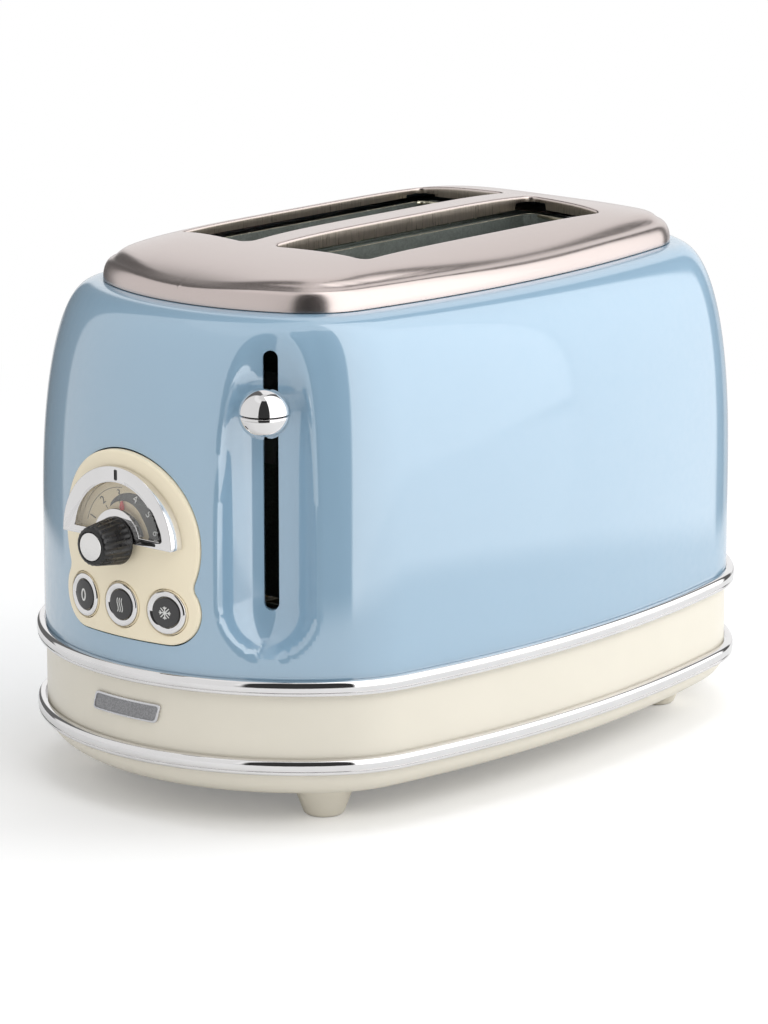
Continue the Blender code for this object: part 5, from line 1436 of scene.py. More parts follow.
    def gland(self) -> None:
        """The grommet that a mains lead leaves through."""
        radius = BODY.side_radius - 0.0005
        wall = sqrt(radius ** 2 - (self.gland_x - self.gland_flange) ** 2)
        wall += BODY.half_width - BODY.side_radius + GAP
        back = wall - 0.011
        bore, body, flange = self.gland_bore, self.gland_body, self.gland_flange
        profile = [(bore, wall + 0.0009), (0.0038, wall + 0.0014), (0.0066, wall + 0.0014),
                   (0.0074, wall + 0.0011), (flange, wall + 0.0005), (flange, wall), (body, wall),
                   (body, back), (bore, back)]
        gland = Bench.hoop("grommet", profile, 48, self.gland_frame())
        Bench.dress(gland, BLACK, nodes=["cord_gland"])

    def tray(self) -> None:
        """The crumb tray: a sheet pan behind a piece of the band, with a pull along its lower edge."""
        half = self.tray_front_half_width
        foot, head, pull_half = self.tray_front_foot_z, self.tray_front_head_z, self.tray_pull_half_width
        front = Bench.prism("tray_front", rounded_box(-half, half, foot, head, 0.001), -self.band_wall, 0,
                            edge=0.0003)
        pull = Bench.prism("tray_pull", rounded_box(-pull_half, pull_half, foot, foot + 0.002, 0.0008),
                           -self.band_wall / 2, 0.0026, edge=0.0004)
        for piece in (front, pull):
            Bench.slice(piece, [step * 0.003 for step in range(-18, 19)], 0)
            Bench.bend(piece, lambda point: Vector((end_face(point.x, point.z - 0.0005), point.x, point.y)))
        reach = end_face(self.tray_half_width, -0.0005 - self.band_wall / 2)
        outer = rounded_box(-self.tray_back, reach, -self.tray_half_width, self.tray_half_width, 0.002)
        wall = self.tray_wall
        inner = rounded_box(wall - self.tray_back, reach - wall, wall - self.tray_half_width,
                            self.tray_half_width - wall, 0.0015)
        pan = Bench.prism("tray_pan", outer, self.tray_floor_z, self.tray_floor_z + self.tray_depth)
        Bench.cut(pan, Bench.prism("tray_tool", inner, self.tray_floor_z + wall,
                                   self.tray_floor_z + 2 * self.tray_depth))
        side = self.tray_half_width * 0.96
        length, seat = self.tongue_length, self.tongue_overlap
        tongue = Bench.prism("tray_tongue", rounded_box(-side, side, 0, length, 0.001), self.tray_floor_z,
                             self.tray_floor_z + wall)
        Bench.slice(tongue, [step * 0.004 for step in range(-12, 13)], 0)

        def reached(point: Vector) -> Vector:
            """Stretches the tongue from the tray's pan to the curved front."""
            front_x = end_face(point.x, -0.001 - self.band_wall / 2)
            return Vector((reach - seat + (front_x - reach + seat) * point.y / length, point.x, point.z))

        Bench.bend(tongue, reached)
        tray = Bench.join("tray", [front, pull, pan, tongue])
        Bench.dress(tray, CREAM, "crumb_tray", ["crumb_tray"])

    def build(self) -> None:
        """Makes every piece of the base."""
        for name, z in zip(("lower_bright_ring", "upper_bright_ring"), self.trim_levels):
            self.trim(name, z)
        self.band()
        self.pan()
        self.feet()
        self.badge()
        self.gland()
        self.tray()


BADGE_FIELD = Galvanised("grained_badge_field", "satin_silver", (0.30, 0.30, 0.31), 0.45, spangle=2600)


@dataclass
class ControlPanel:
    """The cream panel on the end face."""

    proud: float = PANEL_PROUD
    thickness: float = 0.0025
    button_bore: float = 0.0088
    lobe_radius: float = 0.0332
    lobe_z: float = 0.1040
    foot_half: float = 0.0205
    foot_radius: float = 0.0127
    foot_z: float = 0.0805
    waist_radius: float = 0.005
    slice_step: float = 0.002

    def outline(self, margin: float = 0.0) -> Plan:
        """A round dial lobe over a wider foot for the buttons, with a soft waist between them.

        Args:
            margin: How far it is grown.

        Returns:
            The outline.
        """
        lobe, lobe_radius = Vector((0, self.lobe_z)), self.lobe_radius + margin
        foot, foot_radius = Vector((self.foot_half, self.foot_z)), self.foot_radius + margin
        waist_radius = self.waist_radius - margin
        waist = circle_crossing(lobe, lobe_radius + waist_radius, foot, foot_radius + waist_radius)
        to_foot = atan2(foot.y - waist.y, foot.x - waist.x)
        to_lobe = atan2(lobe.y - waist.y, lobe.x - waist.x)
        stop = to_lobe + 2 * pi if to_lobe < 0 else to_lobe
        right = arc(foot, foot_radius, -pi / 2, to_foot + pi, 24)
        right += arc(waist, waist_radius, to_foot + 2 * pi, stop, 10)[1:]
        right += arc(lobe, lobe_radius, to_lobe - pi if to_lobe > 0 else to_lobe + pi, pi / 2, 40)[1:]
        return right + [(-x, y) for x, y in reversed(right[:-1])]

    def build(self) -> None:
        """A moulded plate with a soft rim, bent round the end face, with its openings."""
        steps = ((0, -self.thickness), (0, -0.0007), (-0.0001, -0.0003), (-0.0004, -0.0001), (-0.0009, 0),
                 (-0.0013, 0))
        panel = Bench.loft("panel", [level(self.outline(margin), depth) for margin, depth in steps])
        Bench.slice(panel, [step * self.slice_step for step in range(-17, 18)], 0)
        Bench.bend(panel, lambda point: Vector((
            -end_face(point.x, self.proud + point.z), -point.x, point.y)))
        low, high = BODY.end_radius, BODY.half_length + OVERRUN
        dial = Dial()
        bores = [dial.half_disc(dial.window_radius + GAP, dial.z + 0.0007),
                 circle(SHAFT_BORE, 24, (0, dial.z))]
        bores += [circle(self.button_bore, 64, (side * BUTTON_PITCH, BUTTON_Z)) for side in (-1, 0, 1)]
        for bore in bores:
            Bench.cut(panel, Bench.prism("panel_bore_tool", bore, low, high, FRONT))
        Bench.dress(panel, PANEL, nodes=["control_panel"])


@dataclass
class Dial:
    """The browning dial: bezel, scale with its print, window, pointer and knob."""

    z: float = 0.1043
    bezel_radius: float = 0.0272
    bezel_front: float = 0.1530
    bezel_edge: float = 0.0007
    bar_height: float = 0.0028
    window_radius: float = 0.0213
    window_inner_radius: float = 0.0116
    scale_front: float = 0.1490
    print_depth: float = 0.00006
    digit_radius: float = 0.0164
    digit_size: float = 0.0042
    digit_turns: tuple[float, ...] = (159, 129, 98, 69, 41, 15)
    knob_length: float = 0.0131
    knob_base: float = 0.0089
    knob_tip: float = 0.0071
    cap_radius: float = 0.0053
    chord_drop: float = 0.0003
    needle_gap: float = 0.0006
    needle_sheet: float = 0.0006
    hub_radius: float = 0.0050
    shaft_radius: float = 0.0030
    shaft_end: float = 0.1453
    flute: float = 0.00032
    flute_count: int = 24
    knob_steps: int = 192
    hollow_radius: float = 0.0033

    def half_disc(self, radius: float, chord_z: float, steps: int = 64) -> Plan:
        """A half disc over a level chord.

        Args:
            radius: Its radius.
            chord_z: The height of the chord.
            steps: How many pieces the curve has.

        Returns:
            The outline.
        """
        rise = chord_z - self.z
        start = atan2(rise, sqrt(radius ** 2 - rise ** 2))
        return arc((0, self.z), radius, start, pi - start, steps)

    def sector(self, inner: float, outer: float, chord_z: float) -> Plan:
        """The part of a ring that lies above a level chord.

        Args:
            inner: The inner radius.
            outer: The outer radius.
            chord_z: The height of the chord.

        Returns:
            The outline.
        """
        rise = chord_z - self.z
        outer_start = atan2(rise, sqrt(outer ** 2 - rise ** 2))
        inner_start = atan2(rise, sqrt(inner ** 2 - rise ** 2))
        centre = (0, self.z)
        return [*arc(centre, outer, outer_start, pi - outer_start, 56),
                *arc(centre, inner, pi - inner_start, inner_start, 36)]

    def bezel(self) -> None:
        """The chrome half ring with its inner ring, bar, notch and a black strip set into the bar right of
        the knob.
        """
        foot = self.z - self.chord_drop
        body = Bench.prism("bezel", self.half_disc(self.bezel_radius, foot), BODY.half_length - OVERRUN,
                           self.bezel_front)
        opening = self.sector(self.window_inner_radius, self.window_radius, foot + self.bar_height)
        Bench.cut(body, Bench.prism("window_tool", opening, 0, BODY.half_length * 2))
        Bench.soften(body, self.bezel_edge, 3, radians(50))
        notch = stadium(0.0008, self.z + 0.0220, self.z + 0.0264)
        Bench.cut(body, Bench.prism("notch_tool", notch, self.bezel_front - 0.0008,
                                    self.bezel_front + OVERRUN))
        # A black strip set into the bar to the right of the knob, 7 mm long and 1.2 mm high.
        dark_strip = [(x + 0.0160, y) for y, x in stadium(0.0006, -0.0035, 0.0035)]
        dark_strip = [(x, y + foot + 0.0014) for x, y in dark_strip]
        Bench.cut(body, Bench.prism("dark_strip_tool", dark_strip, self.bezel_front - 0.0004,
                                    self.bezel_front + OVERRUN))
        Bench.move(body, FRONT)
        seat = Bench.loft("seat_tool", [level(BODY.grown(out).points(FINE), z) for out, z in (
            (self.seat_offset(), foot - OVERRUN), (self.seat_offset(), foot + self.bezel_radius + OVERRUN))])
        Bench.cut(body, seat)
        Bench.dress(body, CHROME, nodes=["dial_bezel"], angle=30)
        inlays = [Bench.prism("dial_dark_inlay", outline, self.bezel_front - 0.0010, self.bezel_front - 0.00025,
                              FRONT)
                  for outline in (dark_strip, stadium(0.00045, self.z + 0.0222, self.z + 0.0260))]
        Bench.dress(Bench.join("dial_dark_inlays", inlays), BLACK)

    @staticmethod
    def seat_offset() -> float:
        """How far the panel's front lies outside the shell, with the seat's gap."""
        return PANEL_PROUD + GAP

    def print_band(self, name: str, edge: Callable[[float], tuple[float, float]], start: float, stop: float,
                   steps: int = 40) -> bpy.types.Object:
        """A printed band between two radii that change along the scale.

        Args:
            name: The piece's name.
            edge: Gives the inner and outer radius for a turn in degrees.
            start: The first turn.
            stop: The last turn.
            steps: How many pieces it is made of.

        Returns:
            The band, in thin relief on the scale.
        """
        turns = [start + (stop - start) * step / steps for step in range(steps + 1)]
        inner, outer = [[(edge(turn)[which] * cos(radians(turn)),
                          self.z + edge(turn)[which] * sin(radians(turn))) for turn in turns]
                        for which in (0, 1)]
        return Bench.prism(name, outer + inner[::-1], self.scale_front - GAP,
                           self.scale_front + self.print_depth, FRONT)

    def scale(self) -> None:
        """The scale plate with its arc, ticks, crescent and numbers."""
        plate = Bench.prism("scale", self.half_disc(self.window_radius, self.z + 0.001),
                            self.scale_front - 0.0012, self.scale_front)
        bore = circle(SHAFT_BORE, 24, (0, self.z))
        Bench.cut(plate, Bench.prism("shaft_tool", bore, 0, BODY.half_length * 2))
        Bench.move(plate, FRONT)
        Bench.dress(plate, SCALE, nodes=["dial_scale"])

        def crescent(turn: float) -> tuple[float, float]:
            """Inner and outer radius of the dark crescent."""
            grown = min(max((122 - turn) / 80, 0), 1)
            return 0.0128 + 0.0012 * sin(grown * pi), 0.0129 + 0.0076 * grown ** 0.75

        pieces = [self.print_band("print_crescent", crescent, 122, 4),
                  self.print_band("print_arc", lambda turn: (0.01870, 0.01890), 166, 92)]
        for turn in self.digit_turns[:3]:
            pieces.append(self.print_band("print_tick", lambda _: (0.0128, 0.0142), turn + 0.6,
                                          turn - 0.6, 2))
        Bench.dress(Bench.join("scale_print", pieces), INK)
        dark, pale = [], []
        for index, turn in enumerate(self.digit_turns):
            at = Matrix.Translation((self.digit_radius * cos(radians(turn)),
                                     self.z + self.digit_radius * sin(radians(turn)),
                                     self.scale_front + self.print_depth))
            place = FRONT @ at @ Matrix.Rotation(radians(turn - 90), 4, "Z")
            digit = Bench.word(f"digit_{index + 1}", str(index + 1), self.digit_size, place,
                               self.print_depth)
            (dark if index < 3 else pale).append(digit)
        Bench.dress(Bench.join("scale_numbers_dark", dark), INK)
        Bench.dress(Bench.join("scale_numbers_pale", pale), PALE_INK)

    def window(self) -> None:
        """The clear window in the bezel."""
        foot = self.z - self.chord_drop + self.bar_height
        front = self.bezel_front - 0.0008
        outline = self.sector(self.window_inner_radius + GAP, self.window_radius - GAP, foot + GAP)
        pane = Bench.prism("window", outline, front - 0.0008, front, FRONT)
        Bench.dress(pane, CLEAR, nodes=["dial_window"])

    def knob_row(self, radius: float, depth: float, height: float) -> Row:
        """One row of the knob, fluted by a depth.

        Args:
            radius: Its radius.
            depth: The depth of the flutes.
            height: Its place along the knob.

        Returns:
            The row.
        """
        points = []
        for step in range(self.knob_steps):
            turn = 2 * pi * step / self.knob_steps
            cut = depth * (0.5 - 0.5 * cos(turn * self.flute_count)) ** 0.6
            points.append(((radius - cut) * cos(turn), (radius - cut) * sin(turn), height))
        return points

    def knob(self) -> None:
        """The fluted knob with its skirt, cap, shaft and pointer."""
        place = FRONT @ Matrix.Translation((0, self.z, 0))
        back = self.bezel_front + GAP
        front = back + self.knob_length
        flute, bore = self.flute, circle(self.hollow_radius, self.knob_steps)
        cap_seat = circle(self.cap_radius + GAP, self.knob_steps)

        def width(share: float) -> float:
            """The grip's radius at a share of its length."""
            return self.knob_base + (self.knob_tip - self.knob_base) * share

        rows = [level(bore, back), self.knob_row(width(0) - GAP, 0, back),
                self.knob_row(width(0), 0, back + GAP), self.knob_row(width(0.10), 0, back + 0.0013),
                self.knob_row(width(0.14), flute, back + 0.0018)]
        for share in (0.4, 0.65, 0.86):
            rows.append(self.knob_row(width(share), flute, back + self.knob_length * share))
        rows += [self.knob_row(width(0.93) - 0.0001, flute * 0.6, front - 0.0007),
                 self.knob_row(width(1) - 0.0005, flute * 0.1, front - 0.0002),
                 self.knob_row(width(1) - 0.0010, 0, front), level(cap_seat, front),
                 level(cap_seat, front - 0.0009), level(bore, front - 0.0009)]
        knob = Bench.move(Bench.loft("dial_knob", rows, ring=True), place)
        Bench.dress(knob, BLACK, "browning_dial", ["browning_knob"])
        rim = self.cap_radius
        profile = [(0, front + 0.0003), (rim - 0.0006, front + 0.00025), (rim - 0.0002, front + 0.0001),
                   (rim, front - 0.0002), (rim, front - 0.0006), (0, front - 0.0006)]
        cap = Bench.turned("dial_cap", profile, 64, place)
        Bench.dress(cap, CAP_METAL, "browning_dial", ["knob_cap"])
        head, thick = back + 0.0047, self.shaft_radius
        profile = [(0, head), (thick, head), (thick, self.shaft_end), (0, self.shaft_end)]
        shaft = Bench.turned("dial_shaft", profile, 32, place)
        Bench.dress(shaft, STEEL, "browning_dial", ["knob_shaft"])
        low = self.scale_front + self.needle_gap
        high = low + self.needle_sheet
        outline = [(0.0010, 0), (0.0010, 0.0116), (0.0003, 0.0140), (-0.0003, 0.0140), (-0.0010, 0.0116),
                   (-0.0010, 0)]
        needle = Bench.prism("needle", outline, low, high)
        hub = Bench.prism("needle_hub", circle(self.hub_radius, 32), low, high)
        Bench.dress(Bench.move(Bench.join("pointer", [needle, hub]), place), RED, "browning_dial",
                    ["dial_pointer"])

    def build(self) -> None:
        """Makes every piece of the dial."""
        self.bezel()
        self.scale()
        self.window()
        self.knob()


CAP_METAL = Plated("turned_cap_metal", "satin_silver", (0.80, 0.79, 0.78), 0.22)


class Icon(Enum):
    """What a button's insert shows."""

    STOP = "cancel"
    WARMTH = "reheat"
    FLAKE = "defrost"


@dataclass
class PushButton:
    """A cream button with a bright ring and a dark insert with its icon."""

    icon: Icon
    side: int
    pitch: float = BUTTON_PITCH
    z: float = BUTTON_Z
    radius: float = 0.0085
    proud: float = 0.0007
    depth: float = 0.0085
    ring_outer: float = 0.0080
    ring_inner: float = 0.0057
    line: float = 0.00020
    skirt: float = -0.0050
    seat: float = -0.0009
    stem_radius: float = 0.0022
    board_x: float = 0.1340
    switch_height: float = 0.0024
    travel: float = 0.0020

    def front(self) -> float:
        """How far out along -X the button's front lies."""
        return end_face(self.side * self.pitch, PANEL_PROUD) + self.proud

    def follow(self, piece: bpy.types.Object) -> bpy.types.Object:
        """Slants a front so that it follows the curved panel, and puts the piece in its place.

        Args:
            piece: The piece.

        Returns:
            The same piece.
        """
        middle = self.side * self.pitch
        for vert in piece.data.vertices:
            if vert.co.z > self.skirt:
                vert.co.z += end_face(middle + vert.co.x, PANEL_PROUD) - end_face(middle, PANEL_PROUD)
        return Bench.move(piece, self.place())

    def place(self) -> Matrix:
        """The button's frame, at the middle of its front."""
        return FRONT @ Matrix.Translation((self.side * self.pitch, self.z, self.front()))

    def strip(self, path: Plan) -> bpy.types.Object:
        """A thin raised line along a path."""
        return Bench.rod("icon_line", [(x, y, 0.0) for x, y in path], self.line, 2)

    def icon_pieces(self) -> list[bpy.types.Object]:
        """The lines of the icon, flat on z = 0.

        Returns:
            The lines.
        """
        if self.icon is Icon.STOP:
            oval = [(0.00105 * cos(turn), 0.0020 * sin(turn))
                    for turn in (2 * pi * step / 36 for step in range(36))]
            return [Bench.rod("icon_line", [(x, y, 0.0) for x, y in oval], self.line * 1.9, 2, closed=True)]
        if self.icon is Icon.WARMTH:
            return [self.strip([(start + 0.00030 * sin(step * pi / 6), -0.0026 + 0.00043 * step)
                                for step in range(13)]) for start in (-0.00105, 0.0, 0.00105)]
        lines = []
        for arm in range(8):
            turn = pi * arm / 4
            way, across = Vector((cos(turn), sin(turn))), Vector((-sin(turn), cos(turn)))
            lines.append(self.strip([(0, 0), tuple(way * 0.0024)]))
            if arm % 2 == 0:
                root = way * 0.0014
                for side in (-1, 1):
                    tip = root + way * 0.0007 + across * 0.0007 * side
                    lines.append(self.strip([tuple(root), tuple(tip)]))
        return lines

    def build(self) -> None:
        """Body, ring, insert and icon."""
        label = f"{self.icon.value}_button"
        seat, outer, inner, thin = self.seat, self.ring_outer, self.ring_inner, self.stem_radius
        stem = self.board_x + self.switch_height + self.travel + GAP - self.front()
        body = Bench.turned(f"{label}_dish", [
            (0, seat), (outer + GAP, seat), (outer + GAP, -0.0002), (outer + 0.0004, -0.0001),
            (self.radius - 0.00005, -0.0003), (self.radius, -0.0008), (self.radius, -self.depth),
            (thin, -self.depth), (thin, stem), (0, stem)], 64)
        self.follow(body)
        Bench.dress(body, PANEL, label, [f"{label}_body"])
        ring = Bench.hoop(f"{label}_chrome", [
            (inner, seat + GAP), (outer, seat + GAP), (outer, -0.0003), (outer - 0.0002, 0.0),
            (outer - 0.0006, 0.0002), (outer - 0.0011, 0.0003), (inner + 0.0008, 0.0002),
            (inner + 0.0003, -0.0001), (inner, -0.0004)], 64)
        self.follow(ring)
        Bench.dress(ring, CHROME, label, [f"{label}_ring"])
        edge = inner - 0.0002
        insert = Bench.turned(f"{label}_disc", [
            (0, 0.0003), (edge * 0.5, 0.00025), (edge * 0.85, 0.00012), (edge, -0.0001),
            (edge, seat + GAP), (0, seat + GAP)], 64)
        self.follow(insert)
        Bench.dress(insert, CHARCOAL, label, [f"{label}_insert"])
        lines = Bench.join(f"{label}_icon", self.icon_pieces())
        Bench.bend(lines, lambda point: Vector((point.x, point.y, point.z * 0.25 + 0.00028)))
        self.follow(lines)
        Bench.dress(lines, PALE_INK, label)


@dataclass
class Lever:
    """The chromed ball of the lever, in two halves, and its arm."""

    z: float = 0.1560
    proud: float = 0.0026
    radius: float = 0.0093
    seam: float = 0.0003
    carriage_x: float = -0.1015
    arm_half_width: float = 0.00215
    arm_half_height: float = 0.0035

    def half(self, name: str, way: int) -> None:
        """One half of the ball, with a rounded lip at the seam.

        Args:
            name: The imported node's name.
            way: 1 for the upper half, -1 for the lower one.
        """
        steps = 20
        profile = [(0, self.radius)]
        for step in range(1, steps):
            turn = pi / 2 * step / steps
            profile.append((self.radius * sin(turn), self.radius * cos(turn)))
        profile += [(self.radius - 0.00005, 0.0004), (self.radius - 0.0002, self.seam),
                    (self.radius - 0.0006, self.seam / 2), (0, self.seam / 2)]
        centre = Matrix.Translation((0, self.z, BODY.end_radius + self.proud))
        place = LEVER_FRAME @ centre @ Matrix.Rotation(-pi / 2, 4, "X")
        turned = [(radius, height * way) for radius, height in profile]
        ball = Bench.turned(name.replace("knob", "ball"), turned, 64, place)
        Bench.dress(ball, CHROME, "lever", [name])

    def build(self) -> None:
        """Both halves and the arm."""
        self.half("lever_knob_upper", 1)
        self.half("lever_knob_lower", -1)
        out = BODY.end_radius + self.proud - 0.004
        half = self.arm_half_width
        inner = (-self.carriage_x + GAP + half * sin(LEVER_ANGLE) + END_CENTRE_X) / cos(LEVER_ANGLE)
        outline = rounded_box(-half, half, self.z - self.arm_half_height, self.z + self.arm_half_height,
                              0.0013)
        arm = Bench.prism("arm", outline, inner, out, LEVER_FRAME)
        Bench.dress(arm, STEEL, "lever", ["lever_arm"])


@dataclass
class Inside:
    """The sheets, wires and springs of the toasting chamber."""

    guide_foot_z: float = 0.070
    guide_head_z: float = 0.180
    guide_wire: float = 0.0016
    guide_half_length: float = 0.070
    guide_wires: int = 8
    chassis_half_length: float = 0.083
    rail_overhang: float = 0.001
    rod_x: float = -0.0962
    spring_y: float = -0.012
    spring_radius: float = 0.0034
    spring_wire: float = 0.0004
    spring_foot_z: float = 0.1477
    spring_head_z: float = 0.1925
    spring_turns: int = 14
    spring_steps: int = 14

    def guide(self, label: str, y: float) -> None:
        """A bread guide of round wires.

        Args:
            label: Which guide.
            y: Its place across.
        """
        wire = self.guide_wire / 2
        reach = self.chassis_half_length + self.rail_overhang + self.guide_wire
        low, high = self.guide_foot_z + wire, self.guide_head_z + wire
        rods = [Bench.rod("rail", [(-reach, y, z), (reach, y, z)], wire) for z in (low, high)]
        for index in range(self.guide_wires):
            x = -self.guide_half_length + 2 * self.guide_half_length * index / (self.guide_wires - 1)
            rods.append(Bench.rod("upright", [(x, y, low), (x, y, high)], wire))
        Bench.dress(Bench.join(f"guide_wires_{label}", rods), STEEL, f"guide_{label}",
                    [f"bread_guide_{label}"])

    def spring(self) -> None:
        """The return spring, which stretches between the top frame and the carriage."""
        around = self.spring_steps
        count = self.spring_turns * around
        path = [(self.rod_x + self.spring_radius * cos(2 * pi * step / around),
                 self.spring_y + self.spring_radius * sin(2 * pi * step / around),
                 self.spring_foot_z + (self.spring_head_z - self.spring_foot_z) * step / count)
                for step in range(count + 1)]
        coil = Bench.rod("coil", path, self.spring_wire, 1)
        Bench.move(coil, Matrix.Translation((MIDDLE_X, 0, 0)))
        coil.data.materials.append(STEEL.material())
        Bench.alone(coil)
        bpy.ops.object.shade_smooth()
        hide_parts("return_spring")
        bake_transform(coil)

    def build(self) -> None:
        """Guides and spring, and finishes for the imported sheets."""
        for label, y in (("near_outer", -0.0415), ("near_inner", -0.0105), ("far_inner", 0.0105),
                         ("far_outer", 0.0415)):
            self.guide(label, y)
        self.spring()
        looks = {
            ZINC: ("chassis_floor", "chassis_front_plate", "chassis_rear_plate", "chassis_top_frame",
                   "reflector_near", "reflector_far"),
            MICA: ("heater_card_centre", "heater_card_near", "heater_card_far"),
            NICHROME: ("heater_winding_centre", "heater_winding_near", "heater_winding_far"),
            STEEL: ("guide_rod", "electromagnet", "potentiometer", "carriage_bracket", "armature_plate",
                    "bread_rack_near", "bread_rack_far"),
            BOARD: ("circuit_board",),
        }
        for look, names in looks.items():
            for name in names:
                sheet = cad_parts[name]
                for slot in sheet.material_slots:
                    slot.material = look.material()
                LOG.info("%s: packed piece, %s", name, look.name)


# Studio

@dataclass(frozen=True)
class SoftBox:
    """A bright or dark patch of the room as reflections see it.

    Args:
        span: Left, right, low and high edge in degrees, azimuth from the camera.
        level: How bright it is.
        soft: Half the width of its edge in degrees.
        climb: How far the low edge climbs for each degree to the right.
    """

    span: tuple[float, float, float, float]
    level: float
    soft: float = 1.5
    climb: float = 0.0


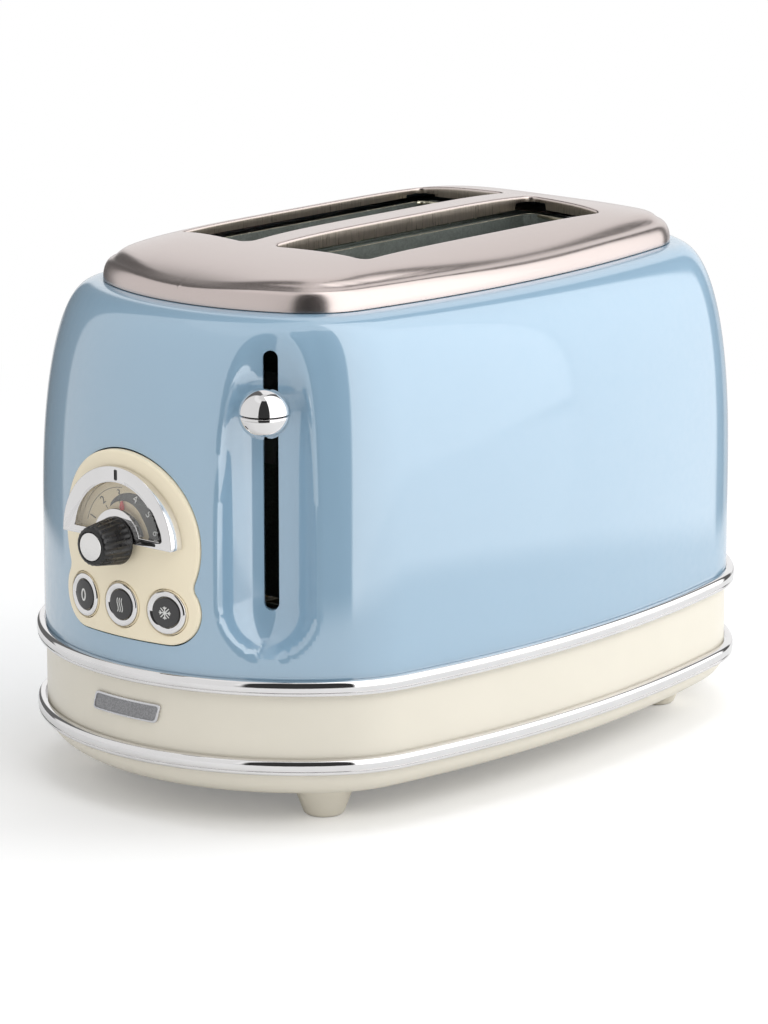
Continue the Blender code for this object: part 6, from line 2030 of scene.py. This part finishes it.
@dataclass
class Studio:
    """Floor, backdrop, lamps and camera."""

    behind: float = 1.0
    room: float = 0.62
    floor_shade: float = 0.86
    floor_lift: float = 0.18
    floor_fade: tuple[float, float] = (0.30, 0.75)
    floor_reach: tuple[float, float] = (0.40, 0.48)
    boxes: tuple[SoftBox, ...] = (
        SoftBox((-180, 180, -90, -2), 0.62, 3),
        SoftBox((27, 128, -90, -2), 1.70, 3),
        SoftBox((-180, 180, 72, 90), 0.80, 6),
        SoftBox((98, 128, -90, 88), 1.60),
        SoftBox((128, 146, -90, 80), 0.12, 3),
        SoftBox((27, 98, -16, 88), 1.90, 1.0, 0.2),
        SoftBox((-165, -130, -90, 75), 0.15, 3),
        SoftBox((-130, -28, -20, 57), 0.85),
        SoftBox((-25, 26, -90, 70), 0.04),
    )

    aim: tuple[float, float, float] = (0.0068, 0.0, 0.1)
    azimuth: float = -49.17
    elevation: float = 12.88
    distance: float = 1.7167
    focal_pixels: float = 4437.4
    image_height: float = 1024
    aim_pixel: tuple[float, float] = (393.3, 480.5)
    image_middle: tuple[float, float] = (384, 512)

    def way(self, azimuth: float, elevation: float) -> Vector:
        """The direction from the object towards an azimuth and elevation, in degrees."""
        turn, rise = radians(azimuth), radians(elevation)
        return Vector((sin(turn) * cos(rise), -cos(turn) * cos(rise), sin(rise)))

    def camera(self) -> None:
        """The camera at the photograph's angle."""
        lens = bpy.data.cameras.new("portrait_camera")
        holder = bpy.data.objects.new("portrait_camera", lens)
        bpy.context.scene.collection.objects.link(holder)
        back = self.way(self.azimuth, self.elevation)
        holder.location = Vector(self.aim) + back * self.distance
        holder.rotation_mode = "QUATERNION"
        holder.rotation_quaternion = (-back).to_track_quat("-Z", "Y")
        lens.lens = lens.sensor_width * self.focal_pixels / self.image_height
        lens.shift_x = (self.image_middle[0] - self.aim_pixel[0]) / self.image_height
        lens.shift_y = (self.aim_pixel[1] - self.image_middle[1]) / self.image_height
        lens.clip_end = 100
        bpy.context.scene.camera = holder

    def lamp(self, name: str, azimuth: float, elevation: float, away: float, width: float, height: float,
             power: float) -> None:
        """A soft box that looks at the toaster.

        Args:
            name: The lamp's name.
            azimuth: Where it stands round the toaster, in degrees.
            elevation: How high it stands, in degrees.
            away: Its distance.
            width: Its width.
            height: Its height.
            power: Its power in watts.
        """
        light = bpy.data.lights.new(name, "AREA")
        light.shape = "RECTANGLE"
        light.size, light.size_y, light.energy = width, height, power
        holder = bpy.data.objects.new(name, light)
        holder.visible_glossy = False
        bpy.context.scene.collection.objects.link(holder)
        back = self.way(azimuth, elevation)
        holder.location = Vector(self.aim) + back * away
        holder.rotation_mode = "QUATERNION"
        holder.rotation_quaternion = (-back).to_track_quat("-Z", "Y")

    def floor(self) -> None:
        """A pale floor that keeps the toaster's shadow and shows white to the camera where it is lit."""
        bpy.ops.object.select_all(action="DESELECT")
        bpy.ops.mesh.primitive_plane_add(size=12, location=(0, 0, 0))
        ground = bpy.context.object
        ground.name = "studio_floor"
        recipe = Recipe("studio_floor_paint")
        recipe.set(base_color=(*(self.floor_shade,) * 3, 1), roughness=0.9, specular_ior_level=0.1)
        away = recipe.node("ShaderNodeVectorMath", Vector=recipe.place())
        away.operation = "LENGTH"
        far = recipe.ease(away.outputs["Value"], *self.floor_fade)
        rays = recipe.node("ShaderNodeLightPath").outputs["Is Camera Ray"]
        glow = recipe.node("ShaderNodeEmission", Strength=1.0)
        recipe.set(emission_color=(1, 1, 1, 1))
        recipe.feed("Emission Strength", recipe.math("MULTIPLY", rays, self.floor_lift))
        shiny = recipe.node("ShaderNodeLightPath").outputs["Is Glossy Ray"]
        open_share = recipe.math("MULTIPLY", shiny, recipe.ease(away.outputs["Value"], *self.floor_reach))
        surface = recipe.shader.outputs["BSDF"]
        for share, layer in ((far, glow.outputs["Emission"]),
                             (open_share, recipe.node("ShaderNodeBsdfTransparent").outputs["BSDF"])):
            mixed = recipe.node("ShaderNodeMixShader", Fac=share)
            recipe.tree.links.new(surface, mixed.inputs[1])
            recipe.tree.links.new(layer, mixed.inputs[2])
            surface = mixed.outputs["Shader"]
        recipe.tree.links.new(surface, recipe.tree.nodes["Material Output"].inputs["Surface"])
        ground.data.materials.append(recipe.material)

    def backdrop(self) -> None:
        """White for the camera, a soft room for the light, and soft boxes for the reflections."""
        world = bpy.data.worlds.new("studio_room")
        bpy.context.scene.world = world
        world.use_nodes = True
        nodes = Nodes(world.node_tree)
        turned = nodes.node("ShaderNodeVectorRotate",
                            Vector=nodes.node("ShaderNodeTexCoord").outputs["Generated"])
        turned.rotation_type = "Z_AXIS"
        turned.inputs["Angle"].default_value = -radians(self.azimuth)
        parts = nodes.node("ShaderNodeSeparateXYZ", Vector=turned.outputs["Vector"]).outputs
        azimuth = nodes.math("ARCTAN2", parts["X"], nodes.math("MULTIPLY", parts["Y"], -1.0))
        elevation = nodes.math("ARCSINE", parts["Z"])
        shine: object = self.behind
        for box in self.boxes:
            left, right, low, high = (radians(value) for value in box.span)
            over = nodes.math("MULTIPLY", nodes.math("SUBTRACT", azimuth, left), -box.climb)
            lowered = nodes.math("ADD", elevation, over)
            share = nodes.math("MULTIPLY", nodes.between(azimuth, left, right, radians(box.soft)),
                               nodes.between(lowered, low, high, radians(box.soft)))
            shine = nodes.blend(share, shine, box.level)
        rays = nodes.node("ShaderNodeLightPath").outputs
        seen = nodes.blend(rays["Is Glossy Ray"], self.room, shine)
        paint = world.node_tree.nodes["Background"]
        nodes.put(paint.inputs["Strength"], nodes.blend(rays["Is Camera Ray"], seen, 1.0))
        paint.inputs["Color"].default_value = (1, 1, 1, 1)

    def build(self) -> None:
        """Makes the studio."""
        self.camera()
        self.floor()
        self.backdrop()
        self.lamp("right_soft_box", 52, 22, 2.2, 1.6, 1.2, 22)
        self.lamp("front_soft_box", -20, 40, 2.4, 1.0, 1.0, 10)
        self.lamp("top_soft_box", 10, 85, 2.0, 1.6, 1.0, 10)
        bpy.context.scene.view_settings.view_transform = "Standard"


def main() -> None:
    """Builds the toaster piece by piece, and the studio round it."""
    logging.basicConfig(level=logging.INFO, format="%(name)s %(message)s")
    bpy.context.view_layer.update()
    Shell().build()
    TopPlate().build()
    Base().build()
    ControlPanel().build()
    Dial().build()
    for side, icon in zip((-1, 0, 1), Icon):
        PushButton(icon, side).build()
    Lever().build()
    Inside().build()
    Studio().build()


if __name__ == "__main__":
    main()
